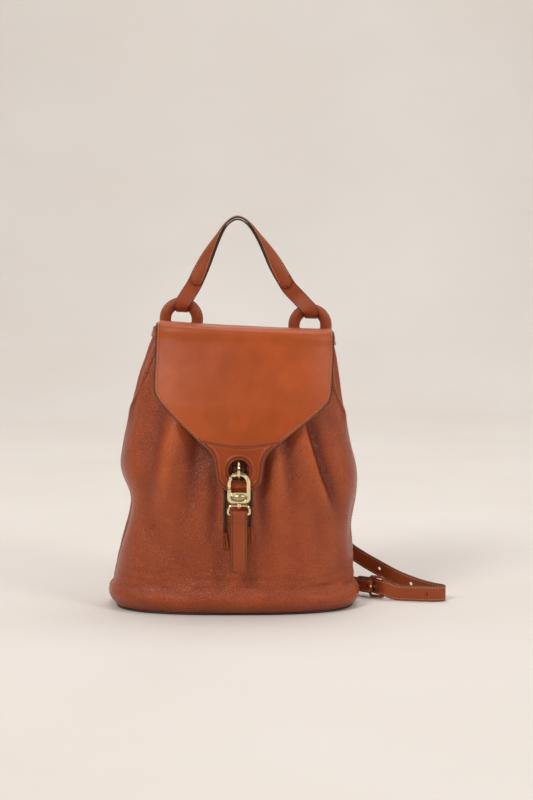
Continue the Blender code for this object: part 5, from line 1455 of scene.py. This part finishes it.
def make_ring_leather():
    """Each ring's leather: rolled over the core and sewn flat round the outside."""
    bore = 0.0044
    upper = [(0.0069, 0.0002), (0.0070, 0.0006), (0.0068, 0.0012), (0.0060, 0.0017), (0.0050, 0.0022)]
    outer = upper + [(1.20 * x if x < 0 else x, y) for x, y in arc((0, 0), 0.0060, 35, 325, 30)]
    outer += [(x, -y) for x, y in upper[::-1]]
    outline = outer + arc((0, 0), bore, 357, 3, 22)
    for side, sign in (("left", -1), ("right", 1)):
        flat = CROWN @ Matrix.Translation((sign * RING_HALF_SPACING, 0, 0)) @ Matrix.Rotation(math.radians(90), 4, "X")
        steps = 84
        sections = []
        for step in range(steps):
            a = 2 * math.pi * step / steps
            swell = 1.0 + 0.012 * math.sin(5 * a + sign) + 0.008 * math.sin(11 * a)
            sections.append([flat @ Vector(((RING_RADIUS + x * (swell if x < 0 else 1.0)) * math.cos(a),
                                            (RING_RADIUS + x * (swell if x < 0 else 1.0)) * math.sin(a), y * swell
                                            if x < 0.004 else y)) for x, y in outline])
        last = len(outer)
        cover = sections_piece("ring_leather_" + side, sections, [STRAP, PAINT], {0, 1, last - 2, last - 3, last - 1},
                               closed=True)
        fit(cover, "ring_" + side, "smooth_leather", "ring_cover_" + side)
        rows = []
        turns = np.linspace(0.0, 2 * math.pi, 120)
        for facing in (-1, 1):
            line = np.array([flat @ Vector((0.0250 * math.cos(a), 0.0250 * math.sin(a), facing * 0.0023)) for a in turns])
            normal = flat.to_3x3() @ Vector((0, 0, facing))
            rows.append((line, np.broadcast_to(tuple(normal), line.shape)))
        stitches("ring_thread_" + side, rows, "ring_" + side, "smooth_leather")


def fold_way(radius, spacing, reach, rise, steps=12):
    """A strap's way round a bar in YZ: down one side, under, and up the other."""
    ply = []
    for step in range(rise + 1):
        height = reach * (1.0 - step / rise)
        ply.append((-mix(radius, spacing, float(ease(0.0, 1.0, min(1.0, height / 0.020)))), height))
    under = [(radius * math.cos(a), radius * math.sin(a))
             for a in (math.pi + math.pi * step / steps for step in range(1, steps))]
    return ply + under + [(-y, z) for y, z in reversed(ply)]


def resampled(path, across, width, spacing=0.0016):
    """The path with its width directions and widths, smoothly filled in."""
    scale = 0.01
    full = np.column_stack([np.asarray(path, float), np.asarray(across, float) * scale,
                            np.broadcast_to(np.asarray(width, float), len(path))])
    full = curve_through(full, spacing)
    return full[:, :3], unit(full[:, 3:6]), full[:, 6]


def softened(line, reach):
    """The line with its small bends averaged out, away from its ends."""
    weights = np.hanning(2 * reach + 3)[1:-1]
    weights /= weights.sum()
    padded = np.vstack([2 * line[:1] - line[reach:0:-1], line, 2 * line[-1:] - line[-2:-reach - 2:-1]])
    return sum(weight * padded[step:step + len(line)] for step, weight in enumerate(weights))


CHAPE_THICK = 0.0018
CHAPE_FOLD = RING_TUBE + RING_PLAY + 0.0006 + CHAPE_THICK / 2


def make_chapes():
    """Leather folded over the bottom of each ring and sewn down the back."""
    for side, sign in (("left", -1), ("right", 1)):
        place = (CROWN @ Matrix.Translation((sign * RING_HALF_SPACING, 0, -RING_RADIUS + RING_PLAY))
                 @ Matrix.Rotation(math.radians(180), 4, "X"))
        path = []
        for y, z in fold_way(CHAPE_FOLD, CHAPE_THICK / 2 + 0.0002, 0.044, 6):
            path.append(place @ Vector((0, y + 0.0105 * float(ease(0.0, 0.030, z)), z)))
        across = [place.to_3x3() @ Vector((1, 0, 0))] * len(path)
        path, across, width = resampled(path, across, 0.0150)
        chape = strap_piece("ring_chape_leather_" + side, path, across, width, CHAPE_THICK, round_ends=(0.0012, 0.0012))
        fit(chape, "bag", "strap_leather", "ring_chape_" + side)
        outward = np.cross(strap_frames(path, across)[0], across)
        middle = path.mean(0)
        facing = 1 if np.sum((path - middle) * outward) > 0 else -1
        rows = strap_lines(path, across, width, CHAPE_THICK, faces=(facing,), trim=0.003)
        stitches("ring_chape_thread_" + side, rows, "bag", "strap_leather")


HANDLE_WIDTH = 0.0190
HANDLE_NECK = 0.0150
HANDLE_THICK = 0.0018
OVERLAY_THICK = 0.0016
HANDLE_FOLD = RING_TUBE + RING_PLAY + 0.0006 + HANDLE_THICK / 2
HANDLE_REACH = 0.0180
HANDLE_ROUTE = ((-0.0505, 0.3830), (-0.0408, 0.4030), (-0.0310, 0.4220), (-0.0205, 0.4405), (-0.0095, 0.4565),
                (0.0030, 0.4640), (0.0160, 0.4570), (0.0295, 0.4400), (0.0412, 0.4220), (0.0530, 0.4020),
                (0.0662, 0.3800))


def handle_end(sign):
    """The handle's way round one ring, from its front ply to the end of its back ply."""
    axis = CROWN @ Vector((sign * RING_HALF_SPACING, 0, RING_RADIUS - RING_PLAY))
    x, z = HANDLE_ROUTE[0] if sign < 0 else HANDLE_ROUTE[-1]
    lean = math.atan2(x - axis.x, z - axis.z)
    path, across, width = [], [], []
    for y, height in fold_way(HANDLE_FOLD, HANDLE_THICK / 2 + 0.0002, HANDLE_REACH, 6):
        share = float(ease(-0.004, 0.020, height))
        path.append((axis.x + (x - axis.x) / (z - axis.z) * max(height, 0.0), axis.y + y, axis.z + height))
        turn = mix(math.atan(CROWN_TILT), lean, share)
        across.append((-sign * math.cos(turn), 0.0, sign * math.sin(turn)))
        width.append(mix(HANDLE_NECK, HANDLE_WIDTH, float(ease(-0.007, 0.003, height))))
    return path, across, width


def handle_arch():
    """The arch between the folds: points and width directions, edge-on over the top."""
    y = RING_Y - HANDLE_THICK / 2 - 0.0002
    route = curve_through([(x, y, z) for x, z in HANDLE_ROUTE], 0.0066)
    top = int(np.argmax(route[:, 2]))
    along = np.empty_like(route)
    along[1:-1] = route[2:] - route[:-2]
    along[0], along[-1] = route[1] - route[0], route[-1] - route[-2]
    along = unit(along)
    inward = np.stack([along[:, 2], 0 * along[:, 0], -along[:, 0]], 1)
    turn = math.radians(90) * (1.0 - ease(0.05, 1.15, np.abs(np.arange(len(route)) - top) / top))[:, None]
    return route, inward * np.cos(turn) + np.array((0.0, -1.0, 0.0)) * np.sin(turn)


def make_handle_leather():
    left_path, left_across, left_width = handle_end(-1)
    right_path, right_across, right_width = handle_end(1)
    route, across = handle_arch()
    path = np.vstack([left_path[::-1], route, right_path])
    sides = np.vstack([left_across[::-1], across, right_across])
    width = np.concatenate([left_width[::-1], [HANDLE_WIDTH] * len(route), right_width])
    path, sides, width = resampled(path, sides, width)
    path, sides = softened(path, 5), unit(softened(sides, 9))
    strap = strap_piece("handle_leather", path, sides, width, HANDLE_THICK, round_ends=(0.002, 0.002))
    fit(strap, "handle", "strap_leather", "handle_strap")
    along = unit(np.gradient(route, axis=0))
    over = route - unit(np.cross(along, across)) * (HANDLE_THICK / 2 + OVERLAY_THICK / 2 + 0.0004)
    spine, spine_across, spine_width = resampled(over, across, HANDLE_WIDTH * 0.97, 0.0013)
    overlay = strap_piece("handle_overlay_leather", spine, -spine_across, spine_width, OVERLAY_THICK,
                          crown=0.0012, round_ends=(0.0095, 0.0095))
    fit(overlay, "handle", "strap_leather", "handle_overlay")
    rows = strap_lines(spine, -spine_across, spine_width, OVERLAY_THICK, inset=0.0022, faces=(1,), trim=0.0085)
    legs = resampled(route, across, HANDLE_WIDTH)
    rows += strap_lines(*legs, HANDLE_THICK, inset=0.0022, faces=(1,), trim=0.002)
    stitches("handle_thread", rows, "handle", "strap_leather")


make_ring_leather()
make_chapes()
make_handle_leather()

# ---------------------------------------------------------------- shoulder straps

STRAP_WIDTH = 0.0190
STRAP_THICK = 0.0028
STRAP_REST_Z = STRAP_WIDTH / 2 + 0.0004
STRAP_ROUTES = {
    "right": ((0.0560, 0.0570, 0.2920), (0.0565, 0.0610, 0.2750), (0.0580, 0.0690, 0.2550), (0.0640, 0.0830, 0.2150),
              (0.0740, 0.0950, 0.1700), (0.0860, 0.1030, 0.1300), (0.1010, 0.1050, 0.0980), (0.1190, 0.0980, 0.0720),
              (0.1390, 0.0820, 0.0540), (0.1570, 0.0670, 0.0430), (0.1790, 0.0540, 0.0320), (0.2010, 0.0420, 0.0220),
              (0.2240, 0.0315, 0.0145), (0.2430, 0.0235, 0.0106), (0.2535, 0.0170, STRAP_REST_Z),
              (0.2550, 0.0090, STRAP_REST_Z), (0.2470, 0.0050, STRAP_REST_Z), (0.2330, 0.0052, STRAP_REST_Z),
              (0.2150, 0.0085, STRAP_REST_Z), (0.1960, 0.0140, STRAP_REST_Z)),
    "left": ((-0.0340, 0.0570, 0.2920), (-0.0345, 0.0610, 0.2750), (-0.0360, 0.0700, 0.2550),
             (-0.0400, 0.0850, 0.2150), (-0.0440, 0.1010, 0.1700), (-0.0440, 0.1150, 0.1300),
             (-0.0390, 0.1290, 0.0950), (-0.0270, 0.1430, 0.0640), (-0.0080, 0.1570, 0.0380),
             (0.0160, 0.1660, 0.0200), (0.0420, 0.1680, 0.0112), (0.0630, 0.1640, STRAP_REST_Z),
             (0.0700, 0.1565, STRAP_REST_Z), (0.0650, 0.1490, STRAP_REST_Z), (0.0500, 0.1460, STRAP_REST_Z),
             (0.0300, 0.1440, STRAP_REST_Z), (0.0080, 0.1400, STRAP_REST_Z), (-0.0130, 0.1345, STRAP_REST_Z)),
}
BUCKLES = {"right": ((0.1660, 0.0315, 0.0145), (0.860, -0.510, 0.0)),
           "left": ((-0.0440, 0.1250, 0.0145), (0.960, 0.280, 0.0))}
LOWER_STRAPS = {
    "right": ((0.0780, 0.0805, 0.0200), (0.1000, 0.0770, 0.0195), (0.1220, 0.0655, 0.0180), (0.1430, 0.0485, 0.0160)),
    "left": ((-0.1120, 0.0690, 0.0200), (-0.1010, 0.0850, 0.0190), (-0.0870, 0.1005, 0.0175),
             (-0.0680, 0.1135, 0.0160)),
}
BUCKLE_LENGTH = 0.0185
BUCKLE_HEIGHT = 0.0240
BUCKLE_WIRE = 0.0017
PRONG_RADIUS = 0.0009
PRONG_EYE = BUCKLE_WIRE + 0.0004
BUCKLE_FAR = -(BUCKLE_WIRE + STRAP_THICK / 2 + 0.0006)
BUCKLE_NEAR = BUCKLE_WIRE + 0.0025 + STRAP_THICK / 2 + 0.0006


def buckle_matrix(side):
    """X from the near bar to the far bar, Y out of the strap's face, Z up."""
    centre, along = BUCKLES[side]
    along = Vector(along).normalized()
    upright = Vector((0, 0, 1))
    return Matrix.Translation(centre) @ Matrix((along, upright.cross(along), upright)).transposed().to_4x4()


def prong_hole_tool(place):
    """A slanting slot along the prong's shaft."""
    lift = BUCKLE_WIRE + PRONG_RADIUS + 0.0004
    reach = BUCKLE_LENGTH + 0.0020
    line = ((PRONG_EYE + 0.0006, 0.0), (reach * 0.5, lift * 0.5), (BUCKLE_LENGTH - 0.002, lift), (reach, lift))
    points, faces = [], []
    for x, y in line:
        points += [place @ Vector((x, y + b, z)) for b, z in ((-0.0017, -0.0016), (0.0017, -0.0016),
                                                              (0.0017, 0.0016), (-0.0017, 0.0016))]
    for step in range(3):
        faces += [(4 * step + i, 4 * step + (i + 1) % 4, 4 * step + 4 + (i + 1) % 4, 4 * step + 4 + i) for i in range(4)]
    return points, faces + [(3, 2, 1, 0), (12, 13, 14, 15)]


def make_shoulder_strap(side):
    place = buckle_matrix(side)
    route = list(STRAP_ROUTES[side])
    for x, y in ((BUCKLE_LENGTH + 0.0050, BUCKLE_FAR), (BUCKLE_LENGTH - 0.0005, BUCKLE_FAR),
                 (BUCKLE_LENGTH * 0.52, mix(BUCKLE_FAR, BUCKLE_NEAR, 0.46)), (0.0010, BUCKLE_NEAR),
                 (-0.0060, BUCKLE_NEAR + 0.0006), (-0.0150, BUCKLE_NEAR + 0.0016), (-0.0260, BUCKLE_NEAR + 0.0034)):
        route.append(tuple(place @ Vector((x, y, 0.0))))
    coarse = curve_through(route, 0.0080)

    def across_at(path):
        angle = math.radians(90) * ease(0.190, 0.065, path[:, 2])
        return np.stack([-np.cos(angle), 0 * angle, np.sin(angle)], 1)

    path, across, width = resampled(coarse, across_at(coarse), STRAP_WIDTH, 0.0020)
    strap = strap_piece("shoulder_strap_leather_" + side, path, across, width, STRAP_THICK,
                        round_ends=(0.001, 0.009))
    tools = [prong_hole_tool(place)]
    coarse_across = across_at(coarse)
    low = [index for index in range(len(coarse)) if coarse[index, 2] < 0.060]
    holes = low[2:-12:5]
    for index in holes:
        normal = np.cross(coarse[index + 1] - coarse[index - 1], coarse_across[index])
        tools.append(cylinder_points(coarse[index], normal, 0.0022, 0.010, 20))
    for tool in tools:
        settle(strap, tool=joined_tool([tool], PAINT))
    fit(strap, "bag", "strap_leather", "shoulder_strap_" + side)
    rows = strap_lines(path, across, width, STRAP_THICK, inset=0.0024, faces=(1, -1), trim=0.006)
    stitches("shoulder_strap_thread_" + side, rows, "bag", "strap_leather")


def make_buckle_leather(side):
    """The buckle: a wire frame wound with leather."""
    place = buckle_matrix(side)
    high = BUCKLE_HEIGHT / 2
    corner = 0.0035
    outline = []
    for x, z, start in ((BUCKLE_LENGTH - corner, high - corner, 90), (BUCKLE_LENGTH - corner, -high + corner, 0),
                        (corner, -high + corner, -90), (corner, high - corner, -180)):
        outline += arc((x, z), corner, start, start - 90, 8)
    flat = np.array(outline)
    flat = np.vstack([flat, flat[:1]])
    line = np.column_stack([flat[:, 0], np.zeros(len(flat)), flat[:, 1]])
    line = walk(line, np.linspace(0.0, line_length(line), 241)[:-1])
    winding = BUCKLE_WIRE * (0.97 + 0.03 * np.cos(2 * math.pi * np.arange(240) / 5.0))
    frame_piece = tube_piece("buckle_leather_" + side, [place @ Vector(point) for point in line], winding, [STRAP], 16)
    fit(frame_piece, "bag", "strap_leather", "buckle_frame_" + side)


def make_lower(side):
    """The lower strap, folded round the buckle's near bar."""
    place = buckle_matrix(side)
    fold = BUCKLE_WIRE + 0.0005 + 0.0010
    path = list(LOWER_STRAPS[side])
    path.append(tuple(place @ Vector((-0.0120, -0.0012, 0.0))))
    path = [tuple(point) for point in curve_through(path, 0.0090)]
    path.append(tuple(place @ Vector((-0.0045, -fold * 0.85, 0.0))))
    for step in range(9):
        angle = math.radians(-90 + 180 * step / 8)
        path.append(tuple(place @ Vector((fold * math.cos(angle), fold * math.sin(angle), 0.0))))
    path.append(tuple(place @ Vector((-0.0045, fold * 0.85, 0.0))))
    path.append(tuple(place @ Vector((-0.0120, 0.0012, 0.0))))
    across = [(0.0, 0.0, 1.0)] * len(path)
    path, across, width = resampled(path, across, 0.0165)
    strap = strap_piece("lower_strap_leather_" + side, path, across, width, 0.0020)
    outline = [(-0.0026, -0.0017), (0.0060, -0.0017), (0.0060, 0.0017), (-0.0026, 0.0017)]
    settle(strap, tool=prism_piece("tool", outline, place, 0.012, [PAINT]))
    fit(strap, "bag", "strap_leather", "lower_strap_" + side)
    long_part = path[:-10], across[:-10]
    rows = strap_lines(*long_part, 0.0165, 0.0020, inset=0.0023, faces=(1, -1), trim=0.006)
    stitches("lower_strap_thread_" + side, rows, "bag", "strap_leather")


for side in ("left", "right"):
    make_shoulder_strap(side)
    make_buckle_leather(side)
    make_lower(side)

# ---------------------------------------------------------------- pieces that keep their CAD shape

KEPT = {"drawstring": CORD, "drawstring_casing": LINING_CLOTH, "base_board": BOARD, "ring_core_left": STEEL,
        "ring_core_right": STEEL, "gate_pin": BRASS, "swivel_rivet": BRASS, "buckle_prong_left": BRASS,
        "buckle_prong_right": BRASS}
for name, finish in KEPT.items():
    kept = bpy.data.objects[name]
    kept.data.materials.clear()
    kept.data.materials.append(finish)
